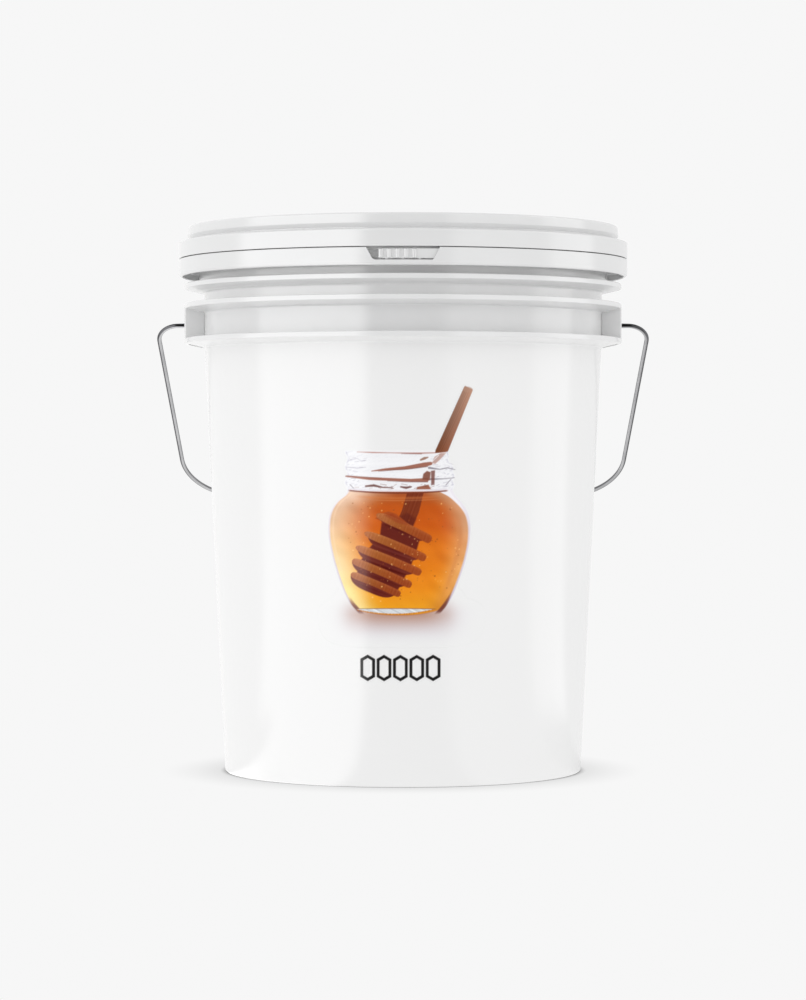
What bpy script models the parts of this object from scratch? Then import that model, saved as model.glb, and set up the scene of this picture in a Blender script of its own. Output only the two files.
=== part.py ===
"""Lidded five-gallon honey pail with a wire bail, as an assembly of its separate pieces.

Metres, +Z up. The origin is the centre of the foot, on the surface that the pail stands on. The front, with the
tear tab and the print, faces -Y, and the bail's ears are at -X and +X. The pail is closed, and its bail hangs
down behind it, resting against the back wall.
"""

import math

import bmesh
import bpy
from mathutils import Matrix, Vector

# Driving dimensions.
LID_RADIUS = 0.1550
PAIL_HEIGHT = 0.3750
SIDES = 64
WALL = 0.0023
GAP = 0.0005
LARGE_CORNER = 0.0014

# Pail: the tapered wall, the straight neck above it, the three flanges and the rim.
FOOT_RADIUS = 0.1228
WALL_TAPER = 0.0490
FOOT_WIDTH = 0.0050
BASE_RECESS = 0.0040
BASE_THICKNESS = 0.0026
CENTRE_BOSS_RADIUS = 0.0180
CENTRE_BOSS_DROP = 0.0015
NECK_RADIUS = 0.1376
NECK_BOTTOM = 0.2905
RIM_TOP = PAIL_HEIGHT - 0.0060
FLANGE_RADIUS = 0.1510
FLANGE_EDGE = 0.0033
FLANGE_DROP = 0.0030
FLANGE_TOPS = (0.3356, 0.3220, 0.2981)
LOCK_RADIUS = 0.1475
LOCK_TOP = 0.3570
LOCK_BOTTOM = 0.3523
BEAD_TOP = 0.3464
BEAD_BOTTOM = 0.3386
BEAD_HEIGHT = 0.0035

# Ears: the hollow blocks between the two lower flanges that hold the bail's ends.
EAR_AXIS_Z = 0.3073
EAR_FACE_X = 0.1504
EAR_WIDTH = 0.0340
EAR_WALL = 0.0025
EAR_ROOF = 0.0032
EAR_HOLE_RADIUS = 0.0021

# Lid: a raised hollow rim over the pail's rim, a sunk panel inside it and a short skirt outside it.
RIM_OUTER_RADIUS = 0.1488
RIM_INNER_RADIUS = 0.1310
RIM_FOOT_Z = 0.3684
RIM_UNDERCUT = 0.0034
PANEL_TOP = PAIL_HEIGHT - 0.0140
PANEL_STEP_RADIUS = 0.0950
PANEL_STEP = 0.0012
SHOULDER_Z = 0.3640
SKIRT_BOTTOM = 0.3527
SKIRT_THICKNESS = 0.0022

# Gasket: the seal between the pail's rim and the roof of the lid's groove.
GASKET_WIDTH = 0.0070
GASKET_HEIGHT = 0.0032

# Tear band: the lower half of the skirt, which locks under the pail's rim, and the window in it.
BAND_TOP = SKIRT_BOTTOM - 0.0006
BAND_BOTTOM = 0.3405
BAND_LIP_RADIUS = 0.1436
BAND_LIP_TOP = 0.3519
BAND_LIP_BOTTOM = 0.3468
WINDOW_BOTTOM = 0.3438
WINDOW_TOP_HALF = 0.0239
WINDOW_BOTTOM_HALF = 0.0195
WINDOW_CORNER_LEFT = 0.0032
WINDOW_CORNER_RIGHT = 0.0015

# Tear tab: the ribbed plate in the window, hinged at its right end.
TAB_LEFT = -0.0160
TAB_TOP = 0.3511
TAB_BOTTOM = 0.3449
TAB_OUTER_RADIUS = 0.1534
TAB_THICKNESS = 0.0018
TAB_RIB_COUNT = 5
TAB_RIB_WIDTH = 0.0029
TAB_RIB_PITCH = 0.00545
TAB_RIB_HEIGHT = 0.0014
BRIDGE_COUNT = 3
BRIDGE_WIDTH = 0.0012
BRIDGE_PITCH = 0.0107
BRIDGE_HEIGHT = 0.0007

# Bail: round steel wire with a headed end in each ear.
WIRE_RADIUS = 0.0016
HEAD_RADIUS = 0.0034
HEAD_THICKNESS = 0.0024
HEAD_X = 0.1410
SHOULDER_BEND_X = 0.1556
SHOULDER_BEND_RADIUS = 0.0140
ARM_TILT = math.radians(4.35)
ELBOW_START = 0.1385
ELBOW_RADIUS = 0.0430
CROSS_TILT = math.radians(14.5)
GRIP_BEND_RADIUS = 0.0300
BAIL_LEAN = math.radians(48.0)

# Grip: the sleeve that turns on the straight middle of the wire.
GRIP_LENGTH = 0.1080
GRIP_RADIUS = 0.0119
GRIP_BORE_RADIUS = 0.0026
GRIP_RIDGES = 3
GRIP_RIDGE_HEIGHT = 0.0008
GRIP_SIDES = 20
GRIP_END_PLAY = 0.0020

# Print: a thin film on the front wall, in the shape of a honey jar with a dipper standing in it.
PRINT_MIDDLE_X = -0.0026
PRINT_THICKNESS = 0.00035
PRINT_GAP = 0.00035
JAR_BOTTOM = 0.1115
JAR_TOP = 0.2225
JAR_HALF_WIDTHS = (
    (0.1115, 0.0270),
    (0.1180, 0.0345),
    (0.1330, 0.0410),
    (0.1500, 0.0448),
    (0.1665, 0.0464),
    (0.1780, 0.0454),
    (0.1880, 0.0405),
    (0.1960, 0.0350),
    (0.2225, 0.0345),
)
STICK_FOOT = (0.0235, 0.2150)
STICK_TIP = (0.0428, 0.2595)
STICK_HALF_WIDTH = 0.0046

WHITE_PLASTIC = (0.86, 0.86, 0.86)
LID_PLASTIC = (0.84, 0.84, 0.84)
GASKET_RUBBER = (0.55, 0.55, 0.53)
STEEL = (0.62, 0.62, 0.62)
PRINT_INK = (0.72, 0.30, 0.04)


def clear_scene():
    for old in list(bpy.data.objects):
        bpy.data.objects.remove(old, do_unlink=True)


def new_collection(name, hidden=False):
    collection = bpy.data.collections.new(name)
    collection.hide_render = hidden
    bpy.context.scene.collection.children.link(collection)
    return collection


def plain_material(name, colour, roughness, metallic=0.0):
    material = bpy.data.materials.new(name)
    material.use_nodes = True
    shader = material.node_tree.nodes["Principled BSDF"]
    shader.inputs["Base Color"].default_value = (*colour, 1.0)
    shader.inputs["Roughness"].default_value = roughness
    shader.inputs["Metallic"].default_value = metallic
    return material


def object_from(bm, name, collection, material=None):
    mesh = bpy.data.meshes.new(name)
    bm.to_mesh(mesh)
    bm.free()
    made = bpy.data.objects.new(name, mesh)
    if material is not None:
        mesh.materials.append(material)
    collection.objects.link(made)
    return made


def cutter_from(bm, name):
    made = object_from(bm, name, CUTTERS)
    made.hide_render = True
    made.display_type = "WIRE"
    return made


def wall_radius(z):
    """Outer radius of the tapered wall at height z."""
    return FOOT_RADIUS + WALL_TAPER * z


def rounded(path, arc_steps=None):
    """The (x, z, corner radius) path as plain points, with each corner that has a radius turned into an arc."""
    points = []
    for index, (x, z, radius) in enumerate(path):
        corner = Vector((x, z))
        if radius == 0:
            points.append(corner)
            continue
        before = (Vector(path[index - 1][:2]) - corner).normalized()
        after = (Vector(path[(index + 1) % len(path)][:2]) - corner).normalized()
        half = before.angle(after) / 2
        centre = corner + (before + after).normalized() * (radius / math.sin(half))
        first = corner + before * (radius / math.tan(half)) - centre
        last = corner + after * (radius / math.tan(half)) - centre
        start = math.atan2(first.y, first.x)
        turn = math.remainder(math.atan2(last.y, last.x) - start, math.tau)
        steps = arc_steps or (1 if radius < LARGE_CORNER else 2)
        for step in range(steps + 1):
            angle = start + turn * step / steps
            points.append(centre + radius * Vector((math.cos(angle), math.sin(angle))))
    return points


def turned(name, points, closed, collection, material=None, sides=SIDES):
    """A profile in the XZ plane swept round Z. It runs down its outer side, so that its faces point out."""
    bm = bmesh.new()
    made = [bm.verts.new((x, 0.0, z)) for x, z in points]
    for first, second in zip(made, made[1:]):
        bm.edges.new((first, second))
    if closed:
        bm.edges.new((made[-1], made[0]))
    turned_object = object_from(bm, name, collection, material)
    screw = turned_object.modifiers.new("turn", "SCREW")
    screw.axis = "Z"
    screw.angle = math.tau
    screw.steps = sides
    screw.render_steps = sides
    screw.use_merge_vertices = True
    screw.merge_threshold = 0.00001
    return turned_object


def box_mesh(low, high):
    """A bmesh box between two corners."""
    bm = bmesh.new()
    size = Vector(high) - Vector(low)
    centre = (Vector(high) + Vector(low)) / 2
    bmesh.ops.create_cube(bm, size=1.0, matrix=Matrix.Translation(centre) @ Matrix.Diagonal((*size, 1.0)))
    return bm


def add_prism(bm, outline, y_low, y_high):
    """Adds an outline in the XZ plane, in order round it, extruded along Y from y_low to y_high."""
    near = bm.faces.new([bm.verts.new((x, y_low, z)) for x, z in outline])
    swept = bmesh.ops.extrude_face_region(bm, geom=[near])
    moved = [item for item in swept["geom"] if isinstance(item, bmesh.types.BMVert)]
    bmesh.ops.translate(bm, verts=moved, vec=(0.0, y_high - y_low, 0.0))
    bmesh.ops.recalc_face_normals(bm, faces=bm.faces)


def combine(target, operation, others):
    """Adds one EXACT Boolean modifier for each of the other meshes."""
    for other in others:
        boolean = target.modifiers.new(f"{operation.lower()} {other.name}", "BOOLEAN")
        boolean.operation = operation
        boolean.solver = "EXACT"
        boolean.object = other


def smooth_shaded(target):
    target.data.shade_smooth()
    target.data.set_sharp_from_angle(angle=math.radians(35))
    for modifier in target.modifiers:
        if modifier.type == "SCREW":
            modifier.use_smooth_shade = True


def joint_empty(name, location, rotation=(0.0, 0.0, 0.0)):
    """An empty on a joint's axis, to which the piece that the joint moves is parented."""
    empty = bpy.data.objects.new(name, None)
    empty.empty_display_size = 0.02
    empty.location = location
    empty.rotation_euler = rotation
    PARTS.objects.link(empty)
    bpy.context.view_layer.update()
    return empty


def hang_on(piece, empty):
    """Parents a piece that is already in place, without moving it."""
    piece.parent = empty
    piece.matrix_parent_inverse = empty.matrix_world.inverted()


def flange_path(top):
    """One flange's section, from the neck's wall out along its flat top and back under its sloping underside."""
    root_drop = FLANGE_EDGE + FLANGE_DROP
    return [
        (NECK_RADIUS, top, 0),
        (FLANGE_RADIUS, top, 0.0008),
        (FLANGE_RADIUS, top - FLANGE_EDGE, 0.0008),
        (NECK_RADIUS, top - root_drop, 0),
    ]


def pail_path():
    """The pail's section from the middle of its floor, up its inner side, over its rim and down to its foot."""
    floor = BASE_RECESS + BASE_THICKNESS
    inner_foot = wall_radius(floor) - WALL
    path = [
        (0.0, floor, 0),
        (inner_foot, floor, 0.0050),
        (wall_radius(NECK_BOTTOM) - WALL, NECK_BOTTOM, 0),
        (NECK_RADIUS - WALL, NECK_BOTTOM + 0.006, 0),
        (NECK_RADIUS - WALL, RIM_TOP, 0.0008),
        (NECK_RADIUS, RIM_TOP, 0.0008),
        (NECK_RADIUS, LOCK_TOP + 0.0012, 0),
        (LOCK_RADIUS, LOCK_TOP, 0.0012),
        (LOCK_RADIUS, LOCK_BOTTOM, 0),
        (NECK_RADIUS, LOCK_BOTTOM - 0.0004, 0),
        (NECK_RADIUS, BEAD_TOP, 0),
        (NECK_RADIUS + BEAD_HEIGHT, BEAD_TOP - BEAD_HEIGHT / 2, 0),
        (NECK_RADIUS, BEAD_BOTTOM, 0),
    ]
    for top in FLANGE_TOPS:
        path += flange_path(top)
    foot_inner = FOOT_RADIUS - FOOT_WIDTH
    path += [
        (wall_radius(NECK_BOTTOM), NECK_BOTTOM, 0),
        (FOOT_RADIUS, 0.0, 0.0030),
        (foot_inner, 0.0, 0),
        (foot_inner - 0.0015, BASE_RECESS, 0),
        (CENTRE_BOSS_RADIUS, BASE_RECESS, 0),
        (CENTRE_BOSS_RADIUS - 0.0010, BASE_RECESS - CENTRE_BOSS_DROP, 0),
        (0.0, BASE_RECESS - CENTRE_BOSS_DROP, 0),
    ]
    return path


def make_pail():
    pail = turned("pail_body", rounded(pail_path()), False, PARTS, PLASTIC)
    half = EAR_WIDTH / 2
    block_low = FLANGE_TOPS[2] - 0.0015
    block_high = FLANGE_TOPS[1] - 0.0025
    wall_cover = 0.0006
    blocks, cutters = [], []
    for side, name in ((-1, "left"), (1, "right")):
        spans = {
            "block": (NECK_RADIUS - WALL / 2, EAR_FACE_X, half, block_low, block_high),
            "pocket": (
                NECK_RADIUS + wall_cover,
                EAR_FACE_X - EAR_WALL,
                half - EAR_WALL,
                FLANGE_TOPS[2] - 0.012,
                block_high - EAR_ROOF,
            ),
        }
        for role, (x_in, x_out, y_half, z_low, z_high) in spans.items():
            ends = sorted((side * x_in, side * x_out))
            bm = box_mesh((ends[0], -y_half, z_low), (ends[1], y_half, z_high))
            (blocks if role == "block" else cutters).append(cutter_from(bm, f"ear_{role}_{name}"))
        bm = bmesh.new()
        place = Matrix.Translation((side * EAR_FACE_X, 0.0, EAR_AXIS_Z)) @ Matrix.Rotation(math.pi / 2, 4, "Y")
        bmesh.ops.create_cone(
            bm,
            cap_ends=True,
            segments=16,
            radius1=EAR_HOLE_RADIUS,
            radius2=EAR_HOLE_RADIUS,
            depth=EAR_WALL * 4,
            matrix=place,
        )
        cutters.append(cutter_from(bm, f"ear_hole_{name}"))
    combine(pail, "UNION", blocks)
    combine(pail, "DIFFERENCE", cutters)
    smooth_shaded(pail)
    return pail


def lid_path():
    """The lid's section from the middle of its top out over its rim, down its skirt and back underneath."""
    panel_under = PANEL_TOP - SKIRT_THICKNESS
    groove_roof = PAIL_HEIGHT - SKIRT_THICKNESS
    plug_radius = NECK_RADIUS - WALL - 0.0012
    return [
        (0.0, PANEL_TOP + PANEL_STEP, 0),
        (PANEL_STEP_RADIUS, PANEL_TOP + PANEL_STEP, 0),
        (PANEL_STEP_RADIUS + 0.0012, PANEL_TOP, 0),
        (RIM_INNER_RADIUS - 0.0008, PANEL_TOP, 0.0020),
        (RIM_INNER_RADIUS, PAIL_HEIGHT, 0.0014),
        (RIM_OUTER_RADIUS - 0.0006, PAIL_HEIGHT, 0.0014),
        (RIM_OUTER_RADIUS, RIM_FOOT_Z, 0),
        (RIM_OUTER_RADIUS - RIM_UNDERCUT, SHOULDER_Z + 0.0008, 0.0008),
        (LID_RADIUS, SHOULDER_Z, 0.0012),
        (LID_RADIUS, SKIRT_BOTTOM, 0),
        (LID_RADIUS - SKIRT_THICKNESS, SKIRT_BOTTOM, 0),
        (LID_RADIUS - SKIRT_THICKNESS, SHOULDER_Z - SKIRT_THICKNESS, 0),
        (RIM_OUTER_RADIUS - RIM_UNDERCUT - SKIRT_THICKNESS, SHOULDER_Z - SKIRT_THICKNESS + 0.0008, 0),
        (RIM_OUTER_RADIUS - SKIRT_THICKNESS, RIM_FOOT_Z - 0.0008, 0),
        (RIM_OUTER_RADIUS - SKIRT_THICKNESS - 0.0004, groove_roof, 0),
        (plug_radius, groove_roof, 0),
        (plug_radius, panel_under - 0.0020, 0.0010),
        (plug_radius - SKIRT_THICKNESS, panel_under - 0.0020, 0),
        (plug_radius - SKIRT_THICKNESS - 0.0010, panel_under, 0),
        (0.0, panel_under, 0),
    ]


def make_lid():
    lid = turned("lid", rounded(lid_path()), False, PARTS, LID_MATERIAL)
    smooth_shaded(lid)
    hang_on(lid, joint_empty("lid_lift", (0.0, 0.0, SKIRT_BOTTOM)))
    return lid


def make_gasket():
    """A soft ring with a rounded foot that rests on the pail's rim."""
    middle = NECK_RADIUS - WALL / 2
    roof = PAIL_HEIGHT - SKIRT_THICKNESS - 0.0003
    outer, inner = middle + GASKET_WIDTH / 2, middle - 0.0018
    path = [
        (outer, roof, 0),
        (outer, roof - GASKET_HEIGHT, 0.0012),
        (inner, roof - GASKET_HEIGHT, 0.0008),
        (inner, roof, 0),
    ]
    gasket = turned("lid_gasket", rounded(path), True, PARTS, RUBBER)
    smooth_shaded(gasket)
    hang_on(gasket, bpy.data.objects["lid_lift"])
    return gasket


def window_edge(z, clearance=0.0):
    """Half of the window's width at height z, less a clearance."""
    slope = (WINDOW_TOP_HALF - WINDOW_BOTTOM_HALF) / (BAND_TOP - WINDOW_BOTTOM)
    return WINDOW_BOTTOM_HALF + slope * (z - WINDOW_BOTTOM) - clearance


def make_tear_band():
    inner = LID_RADIUS - SKIRT_THICKNESS
    path = [
        (LID_RADIUS, BAND_TOP, 0),
        (LID_RADIUS, BAND_BOTTOM, 0.0020),
        (inner - 0.0004, BAND_BOTTOM, 0),
        (inner, BAND_LIP_BOTTOM - 0.0015, 0),
        (BAND_LIP_RADIUS, BAND_LIP_BOTTOM, 0),
        (BAND_LIP_RADIUS, BAND_LIP_TOP, 0.0012),
        (inner, BAND_LIP_TOP, 0),
        (inner, BAND_TOP, 0),
    ]
    band = turned("tear_band", rounded(path), True, PARTS, LID_MATERIAL)
    over = BAND_TOP + 0.005
    outline = [
        (-window_edge(WINDOW_BOTTOM), WINDOW_BOTTOM, WINDOW_CORNER_LEFT),
        (window_edge(WINDOW_BOTTOM), WINDOW_BOTTOM, WINDOW_CORNER_RIGHT),
        (window_edge(over), over, 0),
        (-window_edge(over), over, 0),
    ]
    bm = bmesh.new()
    add_prism(bm, rounded(outline), -LID_RADIUS - 0.005, -BAND_LIP_RADIUS + 0.010)
    combine(band, "DIFFERENCE", [cutter_from(bm, "window")])
    smooth_shaded(band)
    return band


def tab_end_point(z):
    """A point on the outer edge of the tab's right end, which it bends along when it is pulled out."""
    x = window_edge(z, GAP)
    return Vector((x, -math.sqrt(TAB_OUTER_RADIUS**2 - x**2), z))


def make_tear_tab():
    """A curved plate with upright grip ribs, cut from a ring to fit the window."""
    inner = TAB_OUTER_RADIUS - TAB_THICKNESS
    ring = [
        (TAB_OUTER_RADIUS, TAB_TOP, 0),
        (TAB_OUTER_RADIUS, TAB_BOTTOM, 0),
        (inner, TAB_BOTTOM, 0),
        (inner, TAB_TOP, 0),
    ]
    tab = turned("tear_tab", rounded(ring), True, PARTS, LID_MATERIAL)
    margin = 0.001
    outline = [
        (TAB_LEFT, TAB_BOTTOM - margin),
        (window_edge(TAB_BOTTOM - margin, GAP), TAB_BOTTOM - margin),
        (window_edge(TAB_TOP + margin, GAP), TAB_TOP + margin),
        (TAB_LEFT, TAB_TOP + margin),
    ]
    bm = bmesh.new()
    add_prism(bm, outline, -LID_RADIUS - 0.005, -BAND_LIP_RADIUS + 0.010)
    combine(tab, "INTERSECT", [cutter_from(bm, "tab_outline")])

    added = []
    root = -TAB_OUTER_RADIUS + TAB_THICKNESS * 0.7
    inset = 0.0002
    for index in range(TAB_RIB_COUNT):
        x = TAB_LEFT + TAB_RIB_WIDTH / 2 + inset + index * TAB_RIB_PITCH
        half = TAB_RIB_WIDTH / 2
        low = (x - half, -TAB_OUTER_RADIUS - TAB_RIB_HEIGHT + x * x / LID_RADIUS / 2, TAB_BOTTOM + inset)
        high = (x + half, root, TAB_TOP - inset)
        added.append(cutter_from(box_mesh(low, high), f"tab_rib_{index}"))
    for index in range(BRIDGE_COUNT):
        x = (index - (BRIDGE_COUNT - 1) / 2) * BRIDGE_PITCH
        low = (x - BRIDGE_WIDTH / 2, -TAB_OUTER_RADIUS + 0.0006, TAB_BOTTOM - BRIDGE_HEIGHT)
        high = (x + BRIDGE_WIDTH / 2, root, TAB_BOTTOM + inset)
        added.append(cutter_from(box_mesh(low, high), f"tab_bridge_{index}"))
    combine(tab, "UNION", added)

    hinge_low, hinge_high = tab_end_point(TAB_BOTTOM), tab_end_point(TAB_TOP)
    slant = (hinge_high - hinge_low).to_track_quat("Z", "Y").to_euler()
    hang_on(tab, joint_empty("tab_pull", (hinge_low + hinge_high) / 2, slant))
    return tab


def arc_points(centre, radius, start, turn, steps):
    """Points on an arc, without its first one. Angles run anticlockwise from +X."""
    angles = [start + turn * step / steps for step in range(1, steps + 1)]
    return [centre + radius * Vector((math.cos(a), math.sin(a))) for a in angles]


def bail_half():
    """The wire's centreline on the +X side, as (x, distance from the swing axis), from its head to the middle."""
    points = [Vector((HEAD_X, 0.0)), Vector((SHOULDER_BEND_X, 0.0))]
    centre = Vector((SHOULDER_BEND_X, SHOULDER_BEND_RADIUS))
    points += arc_points(centre, SHOULDER_BEND_RADIUS, -math.pi / 2, math.pi / 2 + ARM_TILT, 7)

    along = Vector((-math.sin(ARM_TILT), math.cos(ARM_TILT)))
    arm_end = points[-1] + along * ((ELBOW_START - points[-1].y) / along.y)
    points += [points[-1].lerp(arm_end, step / 4) for step in range(1, 5)]
    centre = arm_end - ELBOW_RADIUS * Vector((math.cos(ARM_TILT), math.sin(ARM_TILT)))
    turn = math.pi / 2 - ARM_TILT - CROSS_TILT
    points += arc_points(centre, ELBOW_RADIUS, ARM_TILT, turn, 9)

    bend_x = GRIP_LENGTH / 2 + GRIP_END_PLAY + GRIP_BEND_RADIUS * math.sin(CROSS_TILT)
    run = points[-1].x - bend_x
    bend_start = Vector((bend_x, points[-1].y + run * math.tan(CROSS_TILT)))
    points += [points[-1].lerp(bend_start, step / 3) for step in range(1, 4)]
    centre = bend_start - GRIP_BEND_RADIUS * Vector((math.sin(CROSS_TILT), math.cos(CROSS_TILT)))
    points += arc_points(centre, GRIP_BEND_RADIUS, math.pi / 2 - CROSS_TILT, CROSS_TILT, 2)
    return points


def realised(curve_object):
    """The curve as a closed mesh object in its place, with the curve removed."""
    bpy.context.view_layer.update()
    graph = bpy.context.evaluated_depsgraph_get()
    mesh = bpy.data.meshes.new_from_object(curve_object.evaluated_get(graph))
    bm = bmesh.new()
    bm.from_mesh(mesh)
    bmesh.ops.remove_doubles(bm, verts=bm.verts, dist=0.00001)
    bmesh.ops.recalc_face_normals(bm, faces=bm.faces)
    bm.to_mesh(mesh)
    bm.free()
    name, place = curve_object.name, curve_object.matrix_world.copy()
    bpy.data.objects.remove(curve_object, do_unlink=True)
    made = bpy.data.objects.new(name, mesh)
    made.matrix_world = place
    PARTS.objects.link(made)
    return made


def make_bail():
    """The wire, drawn hanging straight down from its swing axis and then leant back."""
    half = bail_half()
    line = [(x, -reach) for x, reach in half] + [(-x, -reach) for x, reach in reversed(half)]
    curve = bpy.data.curves.new("bail_wire", "CURVE")
    curve.dimensions = "3D"
    curve.bevel_depth = WIRE_RADIUS
    curve.bevel_resolution = 2
    curve.use_fill_caps = True
    spline = curve.splines.new("POLY")
    spline.points.add(len(line) - 1)
    for point, (x, z) in zip(spline.points, line):
        point.co = (x, 0.0, z, 1.0)
    drawn = bpy.data.objects.new("bail_wire", curve)
    PARTS.objects.link(drawn)
    wire = realised(drawn)
    wire.data.materials.append(WIRE_STEEL)

    swing = joint_empty("bail_swing", (0.0, 0.0, EAR_AXIS_Z), (BAIL_LEAN, 0.0, 0.0))
    wire.parent = swing
    heads = []
    for side, name in ((-1, "left"), (1, "right")):
        bm = bmesh.new()
        place = Matrix.Translation((side * (HEAD_X + HEAD_THICKNESS / 2), 0.0, 0.0)) @ Matrix.Rotation(
            math.pi / 2, 4, "Y"
        )
        bmesh.ops.create_cone(
            bm,
            cap_ends=True,
            segments=16,
            radius1=HEAD_RADIUS,
            radius2=HEAD_RADIUS,
            depth=HEAD_THICKNESS,
            matrix=place,
        )
        head = cutter_from(bm, f"bail_head_{name}")
        head.parent = swing
        heads.append(head)
    combine(wire, "UNION", heads)
    smooth_shaded(wire)
    return half[-1].y


def make_grip(reach):
    """A sleeve with shallow finger ridges, turned about the wire."""
    half = GRIP_LENGTH / 2
    path = [(GRIP_RADIUS - 0.0006, half, 0.0012)]
    steps = GRIP_RIDGES * 4
    for step in range(1, steps):
        z = half - GRIP_LENGTH * step / steps
        wave = math.cos(math.tau * GRIP_RIDGES * step / steps)
        path.append((GRIP_RADIUS - GRIP_RIDGE_HEIGHT * (1 + wave) / 2, z, 0))
    path += [
        (GRIP_RADIUS - 0.0006, -half, 0.0012),
        (GRIP_BORE_RADIUS, -half, 0),
        (GRIP_BORE_RADIUS, half, 0),
    ]
    grip = turned("bail_grip", rounded(path), True, PARTS, GRIP_PLASTIC, GRIP_SIDES)
    smooth_shaded(grip)
    spin = joint_empty("grip_spin", (0.0, 0.0, -reach), (0.0, math.pi / 2, 0.0))
    spin.parent = bpy.data.objects["bail_swing"]
    grip.parent = spin
    return grip


def make_print():
    """A film that follows the wall, cut to the jar's outline, with the dipper's stick leaning out of it."""
    low, high = JAR_BOTTOM - 0.01, STICK_TIP[1] + 0.01
    offsets = (PRINT_GAP + PRINT_THICKNESS, PRINT_GAP)
    ring = [
        (wall_radius(high) + offsets[0], high, 0),
        (wall_radius(low) + offsets[0], low, 0),
        (wall_radius(low) + offsets[1], low, 0),
        (wall_radius(high) + offsets[1], high, 0),
    ]
    film = turned("front_print", rounded(ring), True, PARTS, INK)
    outline = [Vector((PRINT_MIDDLE_X + half, z)) for z, half in JAR_HALF_WIDTHS]
    along = (Vector(STICK_TIP) - Vector(STICK_FOOT)).normalized()
    across = Vector((along.y, -along.x)) * STICK_HALF_WIDTH
    rise = (JAR_TOP - STICK_FOOT[1]) / along.y
    where_it_leaves = Vector(STICK_FOOT) + along * rise
    reach = across + along * (STICK_HALF_WIDTH * along.x / along.y)
    outline += [where_it_leaves + reach, Vector(STICK_TIP) + across]
    outline += arc_points(Vector(STICK_TIP), STICK_HALF_WIDTH, math.atan2(across.y, across.x), math.pi, 6)
    outline += [where_it_leaves - reach]
    outline += [Vector((PRINT_MIDDLE_X - half, z)) for z, half in reversed(JAR_HALF_WIDTHS)]
    bm = bmesh.new()
    add_prism(bm, outline, -LID_RADIUS, -FOOT_RADIUS / 2)
    combine(film, "INTERSECT", [cutter_from(bm, "print_outline")])
    return film


clear_scene()
PARTS = new_collection("honey_pail")
CUTTERS = new_collection("cutters", hidden=True)
PLASTIC = plain_material("pail_plastic", WHITE_PLASTIC, 0.35)
LID_MATERIAL = plain_material("lid_plastic", LID_PLASTIC, 0.38)
RUBBER = plain_material("gasket_rubber", GASKET_RUBBER, 0.8)
WIRE_STEEL = plain_material("bail_steel", STEEL, 0.25, 1.0)
GRIP_PLASTIC = plain_material("grip_plastic", WHITE_PLASTIC, 0.5)
INK = plain_material("print_ink", PRINT_INK, 0.3)

make_pail()
make_lid()
make_gasket()
make_tear_band()
make_tear_tab()
make_grip(make_bail())
make_print()
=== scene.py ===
"""Looks of the lidded honey pail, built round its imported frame.

Metres, +Z up. The pail stands on the floor with its printed front towards -Y, and its ears are at -X and +X.
Each visible piece is a fine mesh that stands for one CAD node and rides on that node's body.
"""

import math

import bmesh
import bpy
import numpy as np
from mathutils import Matrix, Vector


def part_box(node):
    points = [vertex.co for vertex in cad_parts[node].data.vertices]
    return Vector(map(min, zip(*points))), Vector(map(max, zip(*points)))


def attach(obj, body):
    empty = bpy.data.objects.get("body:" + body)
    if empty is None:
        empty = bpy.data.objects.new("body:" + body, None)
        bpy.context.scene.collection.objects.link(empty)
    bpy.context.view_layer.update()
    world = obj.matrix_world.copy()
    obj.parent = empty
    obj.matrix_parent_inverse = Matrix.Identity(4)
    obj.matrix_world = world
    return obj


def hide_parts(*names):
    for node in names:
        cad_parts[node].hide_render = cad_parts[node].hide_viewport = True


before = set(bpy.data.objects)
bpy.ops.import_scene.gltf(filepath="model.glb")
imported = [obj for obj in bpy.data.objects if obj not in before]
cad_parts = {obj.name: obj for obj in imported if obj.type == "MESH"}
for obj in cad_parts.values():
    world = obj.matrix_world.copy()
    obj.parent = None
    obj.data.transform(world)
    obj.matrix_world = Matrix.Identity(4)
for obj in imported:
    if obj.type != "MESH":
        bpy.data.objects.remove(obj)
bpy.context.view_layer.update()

# ---------------------------------------------------------------- sizes, from the frame where it has them
PAIL_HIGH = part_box("pail_body")[1]
LID_LOW, LID_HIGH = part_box("lid")
BAND_LOW, BAND_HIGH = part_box("tear_band")
TAB_LOW, TAB_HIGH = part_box("tear_tab")
GASKET_LOW, GASKET_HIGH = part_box("lid_gasket")
GRIP_LOW, GRIP_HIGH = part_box("bail_grip")

SEGMENTS = 256
ARC_STEPS = 6
SHARP_ANGLE = math.radians(33)
WIRE_SHARP_ANGLE = math.radians(40)
TAB_SHARP_ANGLE = math.radians(50)

LID_RADIUS = LID_HIGH.x
PAIL_HEIGHT = LID_HIGH.z
WALL = 0.0023

FOOT_RADIUS = 0.1228
WALL_TAPER = 0.049
FOOT_WIDTH = 0.005
BASE_RECESS = 0.004
BASE_THICKNESS = 0.0026
CENTRE_BOSS_RADIUS = 0.018
CENTRE_BOSS_DROP = 0.0015
NECK_RADIUS = 0.1376
NECK_BOTTOM = 0.2905
RIM_TOP = PAIL_HIGH.z
FLANGE_RADIUS = PAIL_HIGH.x
FLANGE_EDGE = 0.0033
FLANGE_DROP = 0.003
FLANGE_TOPS = (0.3356, 0.322, 0.2981)
LOCK_RADIUS = 0.1475
LOCK_TOP = 0.357
LOCK_BOTTOM = 0.3523
BEAD_TOP = 0.3464
BEAD_BOTTOM = 0.3356
BEAD_HEIGHT = 0.0035

EAR_AXIS_Z = 0.3073
EAR_FACE_X = 0.1504
EAR_WIDTH = 0.034
EAR_WALL = 0.0025
EAR_ROOF = 0.0032
EAR_HOLE_RADIUS = 0.0021
EAR_RING_RADIUS = 0.0052
EAR_RING_HEIGHT = 0.0004
EAR_WALL_COVER = 0.0006
EAR_CORNER, POCKET_CORNER = 0.0011, 0.0008

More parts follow.
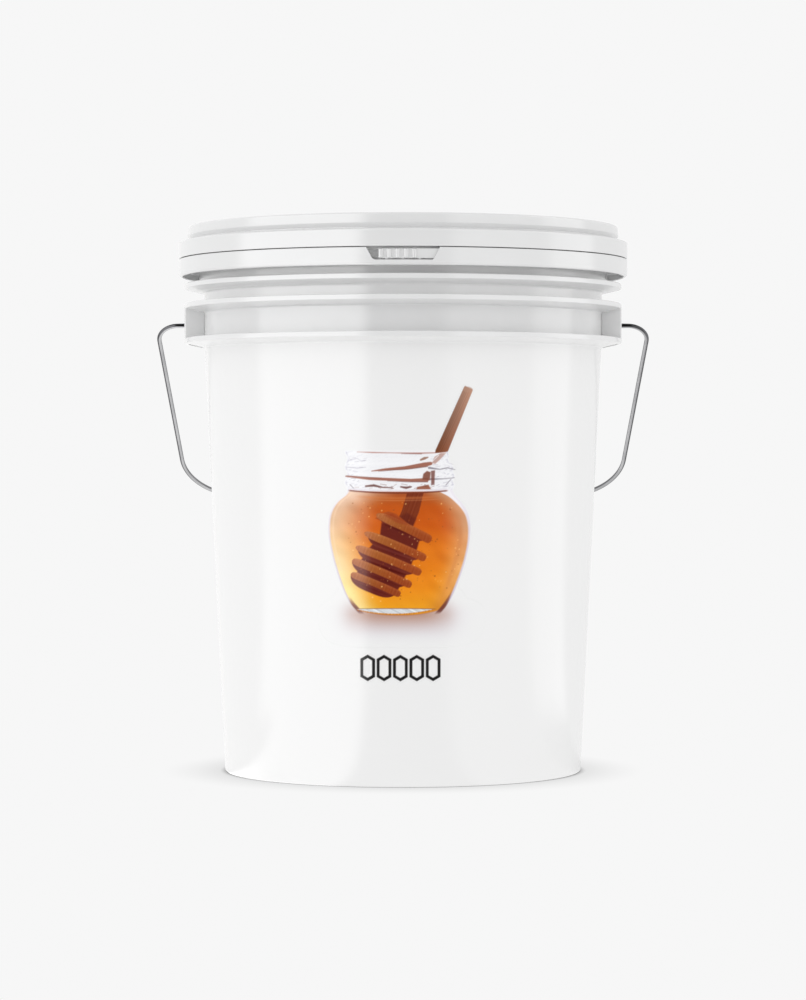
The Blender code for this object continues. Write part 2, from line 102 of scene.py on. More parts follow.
RIM_OUTER_RADIUS = 0.1488
RIM_INNER_RADIUS = 0.131
RIM_FOOT_Z = 0.3684
RIM_UNDERCUT = 0.002
PANEL_TOP = PAIL_HEIGHT - 0.014
PANEL_STEP_RADIUS = 0.095
PANEL_STEP = 0.0012
SHOULDER_Z = 0.364
SKIRT_BOTTOM = LID_LOW.z
SKIRT_THICKNESS = 0.0022

BAND_TOP = BAND_HIGH.z
BAND_BOTTOM = BAND_LOW.z
BAND_LIP_RADIUS = 0.1436
BAND_LIP_TOP = 0.3519
BAND_LIP_BOTTOM = 0.3468
WINDOW_BOTTOM = 0.3438
WINDOW_TOP_HALF = 0.0239
WINDOW_BOTTOM_HALF = 0.0195
WINDOW_CORNER_LEFT = 0.0032
WINDOW_CORNER_RIGHT = 0.0015

TAB_LEFT = TAB_LOW.x
TAB_TOP = TAB_HIGH.z
TAB_BOTTOM = 0.3449
TAB_OUTER_RADIUS = 0.1534
TAB_THICKNESS = 0.0018
TAB_END_GAP = 0.00012
TAB_RIB_COUNT = 5
TAB_RIB_WIDTH = 0.0031
TAB_RIB_PITCH = 0.00545
TAB_RIB_HEIGHT = 0.0014
TAB_GROOVE_DEPTH = 0.0007
TAB_RIB_END = 0.0008
BRIDGE_COUNT = 3
BRIDGE_WIDTH = 0.0012
BRIDGE_PITCH = 0.0107

WIRE_RADIUS = 0.00155
WIRE_SIDES = 20
HEAD_RADIUS = 0.0034
HEAD_THICKNESS = 0.0024
HEAD_X = 0.141
SHOULDER_BEND_X = 0.1556
SHOULDER_BEND_RADIUS = 0.014
ARM_TILT = math.radians(4.35)
ELBOW_START = 0.1385
ELBOW_RADIUS = 0.043
CROSS_TILT = math.radians(14.5)
GRIP_BEND_RADIUS = 0.03
BAIL_LEAN = math.radians(48)

GRIP_LENGTH = GRIP_HIGH.x - GRIP_LOW.x
GRIP_RADIUS = 0.0118
GRIP_BORE_RADIUS = 0.0026
GRIP_RIDGES = 3
GRIP_RIDGE_HEIGHT = 0.0008
GRIP_SEAM_HEIGHT = 0.00012
GRIP_END_PLAY = 0.002
GRIP_SEGMENTS = 72


# ---------------------------------------------------------------- mesh tools
def wall_radius(z):
    """Outer radius of the tapered wall at height z."""
    return FOOT_RADIUS + WALL_TAPER * z


def arc_points(centre, radius, start, turn, steps, first=1):
    """Points on an arc, by default without its first one. Angles run anticlockwise from +X."""
    angles = [start + turn * step / steps for step in range(first, steps + 1)]
    return [centre + radius * Vector((math.cos(a), math.sin(a))) for a in angles]


def rounded(path):
    """The (x, z, corner radius) path as points, with each corner that has a radius turned into an arc."""
    points = []
    for index, (x, z, radius) in enumerate(path):
        corner = Vector((x, z))
        if radius == 0:
            points.append(corner)
            continue
        before = (Vector(path[index - 1][:2]) - corner).normalized()
        after = (Vector(path[(index + 1) % len(path)][:2]) - corner).normalized()
        half = before.angle(after) / 2
        centre = corner + (before + after).normalized() * (radius / math.sin(half))
        first = corner + before * (radius / math.tan(half)) - centre
        last = corner + after * (radius / math.tan(half)) - centre
        start = math.atan2(first.y, first.x)
        turn = math.remainder(math.atan2(last.y, last.x) - start, math.tau)
        points += arc_points(centre, radius, start, turn, ARC_STEPS, 0)
    return points


def linked(name, mesh):
    made = bpy.data.objects.new(name, mesh)
    bpy.context.scene.collection.objects.link(made)
    return made


def mesh_object(name, points, faces, material):
    mesh = bpy.data.meshes.new(name)
    mesh.from_pydata([tuple(point) for point in points], [], faces)
    mesh.update()
    mesh.materials.append(material)
    return linked(name, mesh)


def bmesh_object(name, bm):
    mesh = bpy.data.meshes.new(name)
    bm.to_mesh(mesh)
    bm.free()
    return linked(name, mesh)


def lathed(name, profile, material, closed=False, segments=SEGMENTS, ripple=None):
    """A (radius, z) profile swept round Z, down its outer side. ripple(angle, radius) adds to its radius."""
    points, rings = [], []
    for radius, z in profile:
        if radius < 1e-7:
            rings.append([len(points)] * segments)
            points.append((0, 0, z))
            continue
        rings.append(list(range(len(points), len(points) + segments)))
        for step in range(segments):
            angle = math.tau * step / segments
            reach = radius + (ripple(angle, radius) if ripple else 0)
            points.append((reach * math.cos(angle), reach * math.sin(angle), z))
    pairs = list(zip(rings, rings[1:]))
    if closed:
        pairs.append((rings[-1], rings[0]))
    faces = []
    for upper, lower in pairs:
        for step in range(segments):
            following = (step + 1) % segments
            corners = (upper[step], lower[step], lower[following], upper[following])
            faces.append(tuple(dict.fromkeys(corners)))
    return mesh_object(name, points, faces, material)


def box_piece(name, low, high, bevel=0, bevel_segments=4, upright_only=False):
    """A box between two corners, with its edges rounded."""
    bm = bmesh.new()
    size, centre = Vector(high) - Vector(low), (Vector(high) + Vector(low)) / 2
    bmesh.ops.create_cube(bm, size=1, matrix=Matrix.Translation(centre) @ Matrix.Diagonal((*size, 1)))
    if bevel:
        edges = [
            edge for edge in bm.edges
            if not upright_only or abs((edge.verts[0].co - edge.verts[1].co).normalized().z) > 0.9
        ]
        bmesh.ops.bevel(bm, geom=edges, offset=bevel, segments=bevel_segments, profile=0.5, affect="EDGES")
    return bmesh_object(name, bm)


def cylinder_piece(name, place, radius, depth, segments=48):
    bm = bmesh.new()
    bmesh.ops.create_cone(
        bm, cap_ends=True, segments=segments, radius1=radius, radius2=radius, depth=depth, matrix=place
    )
    return bmesh_object(name, bm)


def prism_piece(name, outline, y_low, y_high):
    """An outline in the XZ plane, extruded along Y."""
    bm = bmesh.new()
    near = bm.faces.new([bm.verts.new((x, y_low, z)) for x, z in outline])
    swept = bmesh.ops.extrude_face_region(bm, geom=[near])
    moved = [item for item in swept["geom"] if isinstance(item, bmesh.types.BMVert)]
    bmesh.ops.translate(bm, verts=moved, vec=(0, y_high - y_low, 0))
    bmesh.ops.recalc_face_normals(bm, faces=bm.faces)
    return bmesh_object(name, bm)


def carved(target, steps):
    """Applies the (operation, tool objects) steps to the target as EXACT Booleans, and removes the tools."""
    pairs = [(operation, other) for operation, others in steps for other in others]
    for operation, other in pairs:
        boolean = target.modifiers.new(operation, "BOOLEAN")
        boolean.operation = operation
        boolean.solver = "EXACT"
        boolean.object = other
    bpy.context.view_layer.update()
    graph = bpy.context.evaluated_depsgraph_get()
    mesh = bpy.data.meshes.new_from_object(target.evaluated_get(graph))
    target.modifiers.clear()
    target.data = mesh
    for _, other in pairs:
        bpy.data.objects.remove(other, do_unlink=True)


def smoothed(target, angle=SHARP_ANGLE):
    """Smooth shading with crisp edges, its normals following the larger faces."""
    target.data.shade_smooth()
    target.data.set_sharp_from_angle(angle=angle)
    weighted = target.modifiers.new("even normals", "WEIGHTED_NORMAL")
    weighted.mode = "FACE_AREA"
    weighted.weight = 50
    weighted.keep_sharp = True
    return target


def placed(piece, body, node):
    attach(piece, body)
    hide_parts(node)


# ---------------------------------------------------------------- materials
class Nodes:
    """Short calls for building the nodes of one material, or of a tree that is given."""

    def __init__(self, name, tree=None):
        self.tree = tree
        if tree is None:
            self.material = bpy.data.materials.new(name)
            self.material.use_nodes = True
            self.tree = self.material.node_tree
            self.shader = self.tree.nodes["Principled BSDF"]

    def add(self, kind, **settings):
        node = self.tree.nodes.new("ShaderNode" + kind)
        for key, value in settings.items():
            setattr(node, key, value)
        return node

    def put(self, value, socket):
        """Links a node's output to the socket, or gives the socket a constant."""
        if isinstance(value, bpy.types.NodeSocket):
            self.tree.links.new(value, socket)
        else:
            socket.default_value = (*value, 1) if socket.type == "RGBA" else value

    def set(self, node=None, **values):
        """Puts values on the inputs of a node, or of the shader, by name with _ for each space."""
        for key, value in values.items():
            self.put(value, (node or self.shader).inputs[key.replace("_", " ")])
        return node

    def place(self, scale=(1, 1, 1), source="Object"):
        start = self.add("TexCoord").outputs[source]
        return self.set(self.add("Mapping"), Vector=start, Scale=scale).outputs["Vector"]

    def noise(self, vector, scale, detail=2, roughness=0.5):
        node = self.add("TexNoise")
        return self.set(node, Vector=vector, Scale=scale, Detail=detail, Roughness=roughness).outputs["Fac"]

    def range(self, value, low, high, to_low=0, to_high=1, curve="LINEAR"):
        node = self.add("MapRange", interpolation_type=curve)
        self.set(node, Value=value, From_Min=low, From_Max=high, To_Min=to_low, To_Max=to_high)
        return node.outputs["Result"]

    def maths(self, operation, first, second=0):
        node = self.add("Math", operation=operation)
        self.put(first, node.inputs[0])
        self.put(second, node.inputs[1])
        return node.outputs[0]

    def times(self, first, second):
        return self.maths("MULTIPLY", first, second)

    def plus(self, first, second):
        return self.maths("ADD", first, second)

    def length(self, vector):
        node = self.add("VectorMath", operation="LENGTH")
        self.put(vector, node.inputs[0])
        return node.outputs["Value"]

    def axes(self, vector):
        return self.set(self.add("SeparateXYZ"), Vector=vector).outputs

    def mix(self, factor, first, second, kind="RGBA"):
        node = self.add("Mix", data_type=kind)
        at, made = (6, 2) if kind == "RGBA" else (2, 0)
        for index, value in ((0, factor), (at, first), (at + 1, second)):
            self.put(value, node.inputs[index])
        return node.outputs[made]

    def bump(self, height, strength, distance, **below):
        node = self.add("Bump")
        return self.set(node, Height=height, Strength=strength, Distance=distance, **below).outputs["Normal"]


PAIL_PALE, PAIL_DULL = (0.78, 0.781, 0.783), (0.762, 0.763, 0.764)
# Wall tone below the lowest flange: partly its own paler tone, partly painted light lifting the shade under
# that flange.
WALL_TONE_AND_LIFT = (0.852, 0.852, 0.851)
WALL_MATTER = 0.04
WAXY = 0.85
# Painted light: the whiter tone that lifts the shade on the recessed neck.
NECK_PAINTED_LIGHT = (0.9, 0.9, 0.9)
LID_PALE, LID_DULL = (0.76, 0.762, 0.764), (0.744, 0.746, 0.746)
GRIP_PALE, GRIP_DULL = (0.82, 0.82, 0.81), (0.78, 0.78, 0.77)
# The steel's darkest tone is a painted reflection of dark surroundings on the wire's sides.
STEEL_BRIGHT, STEEL_GREY, STEEL_PAINTED_DARK = (0.58, 0.58, 0.59), (0.48, 0.48, 0.49), (0.09, 0.09, 0.095)
RUBBER_GREY, RUBBER_DUST = (0.42, 0.42, 0.4), (0.55, 0.55, 0.53)


def moulded_plastic(name, pale, dull, roughness, peel=0.1, scuffs=0, wall_tone_and_lift=None):
    """Moulded polyethylene: faint flow clouding, fine orange peel, uneven gloss and light rub marks.

    Given a wall tone, the wall under the flanges takes that whiter tone: partly a paler, matt finish of its
    own and partly painted light that lifts the shade under the lowest flange. The recessed neck above the
    middle flange is painted whiter, as painted light that lifts its shade.
    """
    nodes = Nodes(name)
    place = nodes.place()
    clouds = nodes.noise(place, 22, 4, 0.55)
    flow = nodes.noise(nodes.place((1, 1, 0.12)), 160, 3)
    colour = nodes.mix(nodes.range(clouds, 0.35, 0.65), pale, dull)
    gloss = nodes.plus(
        nodes.range(clouds, 0.3, 0.7, roughness - 0.03, roughness + 0.03),
        nodes.range(flow, 0.35, 0.65, -0.006, 0.006),
    )
    shine = WAXY
    if wall_tone_and_lift:
        # Painted light: from the lowest flange's underside down, the wall takes the whiter tone, partly its
        # own and partly lifting the shade under that flange.
        height = nodes.axes(nodes.place())["Z"]
        underside = FLANGE_TOPS[2] - FLANGE_EDGE
        lifted_matt_wall = nodes.range(height, underside + 0.0005, underside - 0.0006)
        reach = nodes.length(nodes.place((1, 1, 0)))
        inset = nodes.range(reach, NECK_RADIUS + 0.0045, NECK_RADIUS + 0.003)
        upper = nodes.range(height, FLANGE_TOPS[1], FLANGE_TOPS[1] + 0.001)
        # Painted light: the recessed neck above the middle flange is painted whiter to lift the shade there.
        colour = nodes.mix(nodes.times(inset, upper), colour, NECK_PAINTED_LIGHT)
        colour = nodes.mix(lifted_matt_wall, colour, wall_tone_and_lift)
        gloss = nodes.plus(gloss, nodes.times(lifted_matt_wall, WALL_MATTER))
        shine = nodes.range(lifted_matt_wall, 0, 1, WAXY, 0.5)
    if scuffs:
        scratch = nodes.noise(nodes.place((1, 1, 14)), 95, 5, 0.7)
        patch = nodes.noise(place, 13)
        rub = nodes.times(nodes.range(scratch, 0.6, 0.74), nodes.range(patch, 0.5, 0.68, 0, scuffs))
        gloss = nodes.plus(gloss, nodes.times(rub, 0.22))
        colour = nodes.mix(rub, colour, tuple(channel * 0.93 for channel in dull))
    fine, broad = nodes.noise(place, 1500), nodes.noise(place, 240)
    normal = nodes.bump(broad, peel, 0.00025, Normal=nodes.bump(fine, peel, 0.00008))
    nodes.set(Base_Color=colour, Roughness=gloss, Normal=normal, IOR=1.5, Specular_IOR_Level=shine)
    return nodes


def drawn_steel():
    """Zinc-bright wire with fine lines along its length, from the u (along) and v (round) of its UV map.

    The wire's outer side (v 0.5) and, less so, its inner side are painted dark, a painted reflection of dark
    surroundings.
    """
    nodes = Nodes("bail_steel")
    lines = nodes.noise(nodes.place((40, 90, 1), "UV"), 1, 5, 0.65)
    blotch = nodes.noise(nodes.place(), 70, 3)
    colour = nodes.mix(nodes.range(blotch, 0.35, 0.65), STEEL_BRIGHT, STEEL_GREY)
    # Painted reflection: both sides of the wire are darkened by their v position, for dark surroundings
    # mirrored there.
    off = nodes.maths("SUBTRACT", nodes.axes(nodes.place(source="UV"))["Y"], 0.5)
    off = nodes.maths("ABSOLUTE", off)
    outer = nodes.range(off, 0.18, 0.24, 1, 0, "SMOOTHSTEP")
    inner = nodes.range(off, 0.38, 0.42, 0, 0.8, "SMOOTHSTEP")
    nodes.set(
        Base_Color=nodes.mix(nodes.maths("MAXIMUM", outer, inner), colour, STEEL_PAINTED_DARK),
        Roughness=nodes.range(lines, 0.3, 0.7, 0.09, 0.2),
        Normal=nodes.bump(lines, 0.25, 0.00006),
        Metallic=1,
    )
    return nodes.material


def seal_rubber():
    """Soft grey sealing ring with a dusty, slightly pitted skin."""
    nodes = Nodes("gasket_rubber")
    place = nodes.place()
    dust = nodes.noise(place, 120, 4, 0.6)
    nodes.set(
        Base_Color=nodes.mix(nodes.range(dust, 0.35, 0.7), RUBBER_GREY, RUBBER_DUST),
        Roughness=nodes.range(dust, 0.3, 0.7, 0.62, 0.82),
        Normal=nodes.bump(nodes.noise(place, 1400), 0.3, 0.0001),
    )
    return nodes.material


def printed_plastic():
    """The pail's own plastic with the picture's ink over it, as strong as its cover at each point."""
    nodes = moulded_plastic("print_ink", PAIL_PALE, PAIL_DULL, 0.12, wall_tone_and_lift=WALL_TONE_AND_LIFT)
    picture = nodes.add("Attribute", attribute_name="picture").outputs
    plain = nodes.shader.inputs["Base Color"].links[0].from_socket
    grain = nodes.range(nodes.noise(nodes.place(), 2600, 1), 0.3, 0.7, 0.97, 1.03)
    dots = nodes.set(nodes.add("HueSaturation"), Value=grain, Color=picture["Color"])
    nodes.set(Base_Color=nodes.mix(picture["Alpha"], plain, dots.outputs["Color"]))
    return nodes.material


PAIL_PLASTIC = moulded_plastic("pail_plastic", PAIL_PALE, PAIL_DULL, 0.12, wall_tone_and_lift=WALL_TONE_AND_LIFT).material
LID_PLASTIC = moulded_plastic("lid_plastic", LID_PALE, LID_DULL, 0.14, peel=0.06, scuffs=0.4).material
GRIP_PLASTIC = moulded_plastic("grip_plastic", GRIP_PALE, GRIP_DULL, 0.46, 0.25, 0.6).material
STEEL = drawn_steel()
RUBBER = seal_rubber()
PRINT = printed_plastic()


# ---------------------------------------------------------------- pail
def flange_path(top):
    return [
        (NECK_RADIUS, top, 0.0004), (FLANGE_RADIUS, top, 0.0007),
        (FLANGE_RADIUS, top - FLANGE_EDGE, 0.0008),
        (NECK_RADIUS, top - (FLANGE_EDGE + FLANGE_DROP), 0.0016),
    ]


def pail_path():
    """The pail's section: from the middle of its floor up inside, over its rim and down to its foot."""
    floor = BASE_RECESS + BASE_THICKNESS
    inner = NECK_RADIUS - WALL
    foot_inner = FOOT_RADIUS - FOOT_WIDTH
    boss_z = BASE_RECESS - CENTRE_BOSS_DROP
    path = [
        (0, floor, 0), (wall_radius(floor) - WALL, floor, 0.005),
        (wall_radius(NECK_BOTTOM) - WALL, NECK_BOTTOM, 0.01), (inner, NECK_BOTTOM + 0.006, 0.01),
        (inner, RIM_TOP, 0.0008), (NECK_RADIUS, RIM_TOP, 0.0008),
        (NECK_RADIUS, LOCK_TOP + 0.0012, 0.0006), (LOCK_RADIUS, LOCK_TOP, 0.0012),
        (LOCK_RADIUS, LOCK_BOTTOM, 0.0003), (NECK_RADIUS, LOCK_BOTTOM - 0.0004, 0.0008),
        (NECK_RADIUS, BEAD_TOP, 0.0004),
        (NECK_RADIUS + BEAD_HEIGHT, BEAD_TOP - BEAD_HEIGHT / 2, 0.0005),
        (NECK_RADIUS + BEAD_HEIGHT - 0.0002, BEAD_BOTTOM, 0.0004),
    ]
    path += flange_path(FLANGE_TOPS[0])[1:] + flange_path(FLANGE_TOPS[1]) + flange_path(FLANGE_TOPS[2])
    return path + [
        (wall_radius(NECK_BOTTOM), NECK_BOTTOM, 0.0006), (FOOT_RADIUS, 0, 0.0014),
        (foot_inner, 0, 0.001), (foot_inner - 0.0015, BASE_RECESS, 0.001),
        (CENTRE_BOSS_RADIUS, BASE_RECESS, 0.0004), (CENTRE_BOSS_RADIUS - 0.001, boss_z, 0.0004),
        (0, boss_z, 0),
    ]


def make_pail():
    pail = lathed("pail_shell", rounded(pail_path()), PAIL_PLASTIC)
    half = EAR_WIDTH / 2
    low, high = FLANGE_TOPS[2] - 0.0015, FLANGE_TOPS[1] - 0.0025
    added, cut = [], []
    for side, name in ((-1, "left"), (1, "right")):
        ends = sorted((side * (NECK_RADIUS - WALL / 2), side * EAR_FACE_X))
        block = ((ends[0], -half, low), (ends[1], half, high))
        place = Matrix.Translation((side * EAR_FACE_X, 0, EAR_AXIS_Z)) @ Matrix.Rotation(math.pi / 2, 4, "Y")
        added += [
            box_piece(f"ear_block_{name}", *block, EAR_CORNER, 4, upright_only=True),
            cylinder_piece(f"ear_ring_{name}", place, EAR_RING_RADIUS, EAR_RING_HEIGHT * 2, 64),
        ]
        ends = sorted((side * (NECK_RADIUS + EAR_WALL_COVER), side * (EAR_FACE_X - EAR_WALL)))
        pocket_low = (ends[0], -half + EAR_WALL, FLANGE_TOPS[2] - 0.012)
        pocket_high = (ends[1], half - EAR_WALL, high - EAR_ROOF)
        cut += [
            box_piece(f"ear_pocket_{name}", pocket_low, pocket_high, POCKET_CORNER, 3),
            cylinder_piece(f"ear_hole_{name}", place, EAR_HOLE_RADIUS, EAR_WALL * 4),
        ]
    carved(pail, [("UNION", added), ("DIFFERENCE", cut)])
    placed(smoothed(pail), "pail", "pail_body")


# ---------------------------------------------------------------- lid, gasket, tear band and tab
def lid_path():
    """The lid's section: from the middle of its top over its rim, down its skirt and back underneath."""
    step = PANEL_TOP + PANEL_STEP
    under = PANEL_TOP - SKIRT_THICKNESS
    roof = PAIL_HEIGHT - SKIRT_THICKNESS
    tuck = RIM_OUTER_RADIUS - RIM_UNDERCUT
    inner = RIM_OUTER_RADIUS - SKIRT_THICKNESS
    skirt = LID_RADIUS - SKIRT_THICKNESS
    shelf = SHOULDER_Z - SKIRT_THICKNESS
    plug = NECK_RADIUS - WALL - 0.0012
    return [
        (0, step - 0.0006, 0), (0.003, step - 0.0006, 0.0003), (0.0036, step, 0.0003),
        (PANEL_STEP_RADIUS, step, 0.0005), (PANEL_STEP_RADIUS + 0.0012, PANEL_TOP, 0.0008),
        (RIM_INNER_RADIUS - 0.0008, PANEL_TOP, 0.0025), (RIM_INNER_RADIUS, PAIL_HEIGHT, 0.0016),
        (RIM_OUTER_RADIUS - 0.0006, PAIL_HEIGHT, 0.0014), (RIM_OUTER_RADIUS, RIM_FOOT_Z, 0.0005),
        (tuck, SHOULDER_Z + 0.0008, 0.0008), (LID_RADIUS, SHOULDER_Z, 0.0012),
        (LID_RADIUS, SKIRT_BOTTOM, 0.0004), (skirt, SKIRT_BOTTOM, 0.0003), (skirt, shelf, 0.001),
        (tuck - SKIRT_THICKNESS, shelf + 0.0008, 0.0006), (inner, RIM_FOOT_Z - 0.0008, 0.0006),
        (inner - 0.0004, roof, 0.0008), (plug, roof, 0.0006), (plug, under - 0.002, 0.001),
        (plug - SKIRT_THICKNESS, under - 0.002, 0.0006), (plug - SKIRT_THICKNESS - 0.001, under, 0.001),
        (0, under, 0),
    ]


def make_lid():
    placed(smoothed(lathed("lid_shell", rounded(lid_path()), LID_PLASTIC)), "lid", "lid")


def make_gasket():
    outer, inner = GASKET_HIGH.x, NECK_RADIUS - WALL / 2 - 0.0018
    top, bottom = GASKET_HIGH.z, GASKET_LOW.z
    middle = (outer + inner) / 2
    path = [
        (outer, top, 0.0004), (outer, bottom, 0.0013), (middle + 0.0004, bottom, 0.0003),
        (middle, bottom + 0.0005, 0.0003), (middle - 0.0004, bottom, 0.0003), (inner, bottom, 0.001),
        (inner, top, 0.0004),
    ]
    gasket = lathed("gasket_ring", rounded(path), RUBBER, closed=True)
    placed(smoothed(gasket), "lid", "lid_gasket")


def window_edge(z, clearance=0):
    """Half of the window's width at height z, less a clearance."""
    slope = (WINDOW_TOP_HALF - WINDOW_BOTTOM_HALF) / (BAND_TOP - WINDOW_BOTTOM)
    return WINDOW_BOTTOM_HALF + slope * (z - WINDOW_BOTTOM) - clearance


def make_tear_band():
    inner = LID_RADIUS - SKIRT_THICKNESS
    path = [
        (LID_RADIUS, BAND_TOP, 0.0004), (LID_RADIUS, BAND_BOTTOM, 0.0022),
        (inner - 0.0004, BAND_BOTTOM, 0.0006), (inner, BAND_LIP_BOTTOM - 0.0015, 0.001),
        (BAND_LIP_RADIUS, BAND_LIP_BOTTOM, 0.0006), (BAND_LIP_RADIUS, BAND_LIP_TOP, 0.0012),
        (inner, BAND_LIP_TOP, 0), (inner, BAND_TOP, 0),
    ]
    band = lathed("tear_band_ring", rounded(path), LID_PLASTIC, closed=True)
    over = BAND_TOP + 0.005
    outline = [
        (-window_edge(WINDOW_BOTTOM), WINDOW_BOTTOM, WINDOW_CORNER_LEFT),
        (window_edge(WINDOW_BOTTOM), WINDOW_BOTTOM, WINDOW_CORNER_RIGHT), (window_edge(over), over, 0),
        (-window_edge(over), over, 0),
    ]
    window = prism_piece("window", rounded(outline), -LID_RADIUS - 0.005, -BAND_LIP_RADIUS + 0.01)
    carved(band, [("DIFFERENCE", [window])])
    placed(smoothed(band), "pail", "tear_band")


def rib_rise(x, z):
    """How far the tab's front stands above its plate: half-round bars, with shallow grooves between them."""
    first = TAB_LEFT + TAB_RIB_WIDTH / 2
    groove = TAB_GROOVE_DEPTH if first < x < first + (TAB_RIB_COUNT - 1) * TAB_RIB_PITCH else 0
    rise = -groove
    for index in range(TAB_RIB_COUNT):
        across = abs(x - (first + index * TAB_RIB_PITCH)) / (TAB_RIB_WIDTH / 2)
        if across < 1:
            rise = max(rise, TAB_RIB_HEIGHT * (1 - across**2.6) ** 0.55 - groove)
    end = min(z - TAB_BOTTOM, TAB_TOP - z) / TAB_RIB_END
    return rise * (1 if end >= 1 else max(0, 1 - (1 - end) ** 2) ** 0.5)


def make_tear_tab():
    """A curved plate with upright rounded ribs, its right end running along the window's slanted edge."""
    columns, rows = 240, 34
    inner = TAB_OUTER_RADIUS - TAB_THICKNESS
    points = []
    for face in ("front", "back"):
        for row in range(rows + 1):
            z = TAB_BOTTOM + (TAB_TOP - TAB_BOTTOM) * row / rows
            right = window_edge(z, TAB_END_GAP)
            for column in range(columns + 1):
                x = TAB_LEFT + (right - TAB_LEFT) * column / columns
                radius = TAB_OUTER_RADIUS + rib_rise(x, z) if face == "front" else inner
                points.append((x, -math.sqrt(radius**2 - x**2), z))
    width = columns + 1
    back = width * (rows + 1)
    faces = []
    for row in range(rows):
        for column in range(columns):
            at = row * width + column
            faces.append((at, at + 1, at + width + 1, at + width))
            at += back
            faces.append((at, at + width, at + width + 1, at + 1))
    rim = list(range(columns)) + [row * width + columns for row in range(rows)]
    rim += [rows * width + column for column in range(columns, 0, -1)]
    rim += [row * width for row in range(rows, 0, -1)]
    for here, there in zip(rim, rim[1:] + rim[:1]):
        faces.append((here, here + back, there + back, there))
    tab = mesh_object("tear_tab_plate", points, faces, LID_PLASTIC)
    bridges = []
    for index in range(BRIDGE_COUNT):
        x = (index - (BRIDGE_COUNT - 1) / 2) * BRIDGE_PITCH
        low = (x - BRIDGE_WIDTH / 2, -TAB_OUTER_RADIUS + 0.0006, WINDOW_BOTTOM + 0.00035)
        high = (x + BRIDGE_WIDTH / 2, -inner - 0.0002, TAB_BOTTOM + 0.0004)
        bridges.append(box_piece(f"bridge_{index}", low, high))
    carved(tab, [("UNION", bridges)])
    placed(smoothed(tab, TAB_SHARP_ANGLE), "tab", "tear_tab")


# ---------------------------------------------------------------- bail and grip
LEANT_BACK = Matrix.Translation((0, 0, EAR_AXIS_Z)) @ Matrix.Rotation(BAIL_LEAN, 4, "X")


def bail_half():
    """The wire's centreline at +X, from its head to the middle, as (x, distance from the swing axis)."""
    points = [Vector((HEAD_X, 0)), Vector((SHOULDER_BEND_X, 0))]
    centre = Vector((SHOULDER_BEND_X, SHOULDER_BEND_RADIUS))
    points += arc_points(centre, SHOULDER_BEND_RADIUS, -math.pi / 2, math.pi / 2 + ARM_TILT, 18)
    along = Vector((-math.sin(ARM_TILT), math.cos(ARM_TILT)))
    arm_end = points[-1] + along * ((ELBOW_START - points[-1].y) / along.y)
    points += [points[-1].lerp(arm_end, step / 30) for step in range(1, 31)]
    centre = arm_end - ELBOW_RADIUS * Vector((math.cos(ARM_TILT), math.sin(ARM_TILT)))
    turn = math.pi / 2 - ARM_TILT - CROSS_TILT
    points += arc_points(centre, ELBOW_RADIUS, ARM_TILT, turn, 24)
    bend_x = GRIP_LENGTH / 2 + GRIP_END_PLAY + GRIP_BEND_RADIUS * math.sin(CROSS_TILT)
    run = points[-1].x - bend_x
    bend_start = Vector((bend_x, points[-1].y + run * math.tan(CROSS_TILT)))
    points += [points[-1].lerp(bend_start, step / 12) for step in range(1, 13)]
    centre = bend_start - GRIP_BEND_RADIUS * Vector((math.sin(CROSS_TILT), math.cos(CROSS_TILT)))
    points += arc_points(centre, GRIP_BEND_RADIUS, math.pi / 2 - CROSS_TILT, CROSS_TILT, 6)
    return points


def make_bail():
    """Round wire swept along its centreline, with an upset head at each end, leant back about its ears."""
    half = bail_half()
    line = [(x, -reach) for x, reach in half] + [(-x, -reach) for x, reach in reversed(half)]
    line = [Vector((x, 0, z)) for x, z in line]
    head = (
        (0, 0), (0, 0.0022), (0.0003, 0.003), (0.0008, HEAD_RADIUS), (HEAD_THICKNESS - 0.0006, HEAD_RADIUS),
        (HEAD_THICKNESS - 0.0002, 0.0031), (HEAD_THICKNESS, 0.0024), (HEAD_THICKNESS + 0.0004, 0.0018),
    )
    stations = [(line[0] + Vector((offset, 0, 0)), radius) for offset, radius in head]
    stations += [(point, WIRE_RADIUS) for point in line[1:-1]]
    stations += [(line[-1] - Vector((offset, 0, 0)), radius) for offset, radius in reversed(head)]
    points, lengths, travelled = [], [], 0
    upright = Vector((0, 1, 0))
    for index, (point, radius) in enumerate(stations):
        before = stations[max(index - 1, 0)][0]
        after = stations[min(index + 1, len(stations) - 1)][0]
        travelled += (point - before).length
        along = (after - before).normalized()
        across = upright.cross(along)
        for side in range(WIRE_SIDES):
            angle = math.tau * side / WIRE_SIDES
            points.append(point + radius * (math.cos(angle) * across + math.sin(angle) * upright))
            lengths.append(travelled)
    faces, corners = [], []
    for ring in range(len(stations) - 1):
        for side in range(WIRE_SIDES):
            here, following = ring * WIRE_SIDES + side, ring * WIRE_SIDES + (side + 1) % WIRE_SIDES
            faces.append((here, following, following + WIRE_SIDES, here + WIRE_SIDES))
            start, end = lengths[here], lengths[here + WIRE_SIDES]
            low, high = side / WIRE_SIDES, (side + 1) / WIRE_SIDES
            corners += [(start, low), (start, high), (end, high), (end, low)]
    bail = mesh_object("bail_wire_swept", points, faces, STEEL)
    layer = bail.data.uv_layers.new(name="along")
    for loop, corner in zip(layer.data, corners):
        loop.uv = corner
    bm = bmesh.new()
    bm.from_mesh(bail.data)
    bmesh.ops.remove_doubles(bm, verts=bm.verts, dist=0.000001)
    bmesh.ops.recalc_face_normals(bm, faces=bm.faces)
    bm.to_mesh(bail.data)
    bm.free()
    bail.data.transform(LEANT_BACK)
    placed(smoothed(bail, WIRE_SHARP_ANGLE), "bail", "bail_wire")
    return half[-1].y


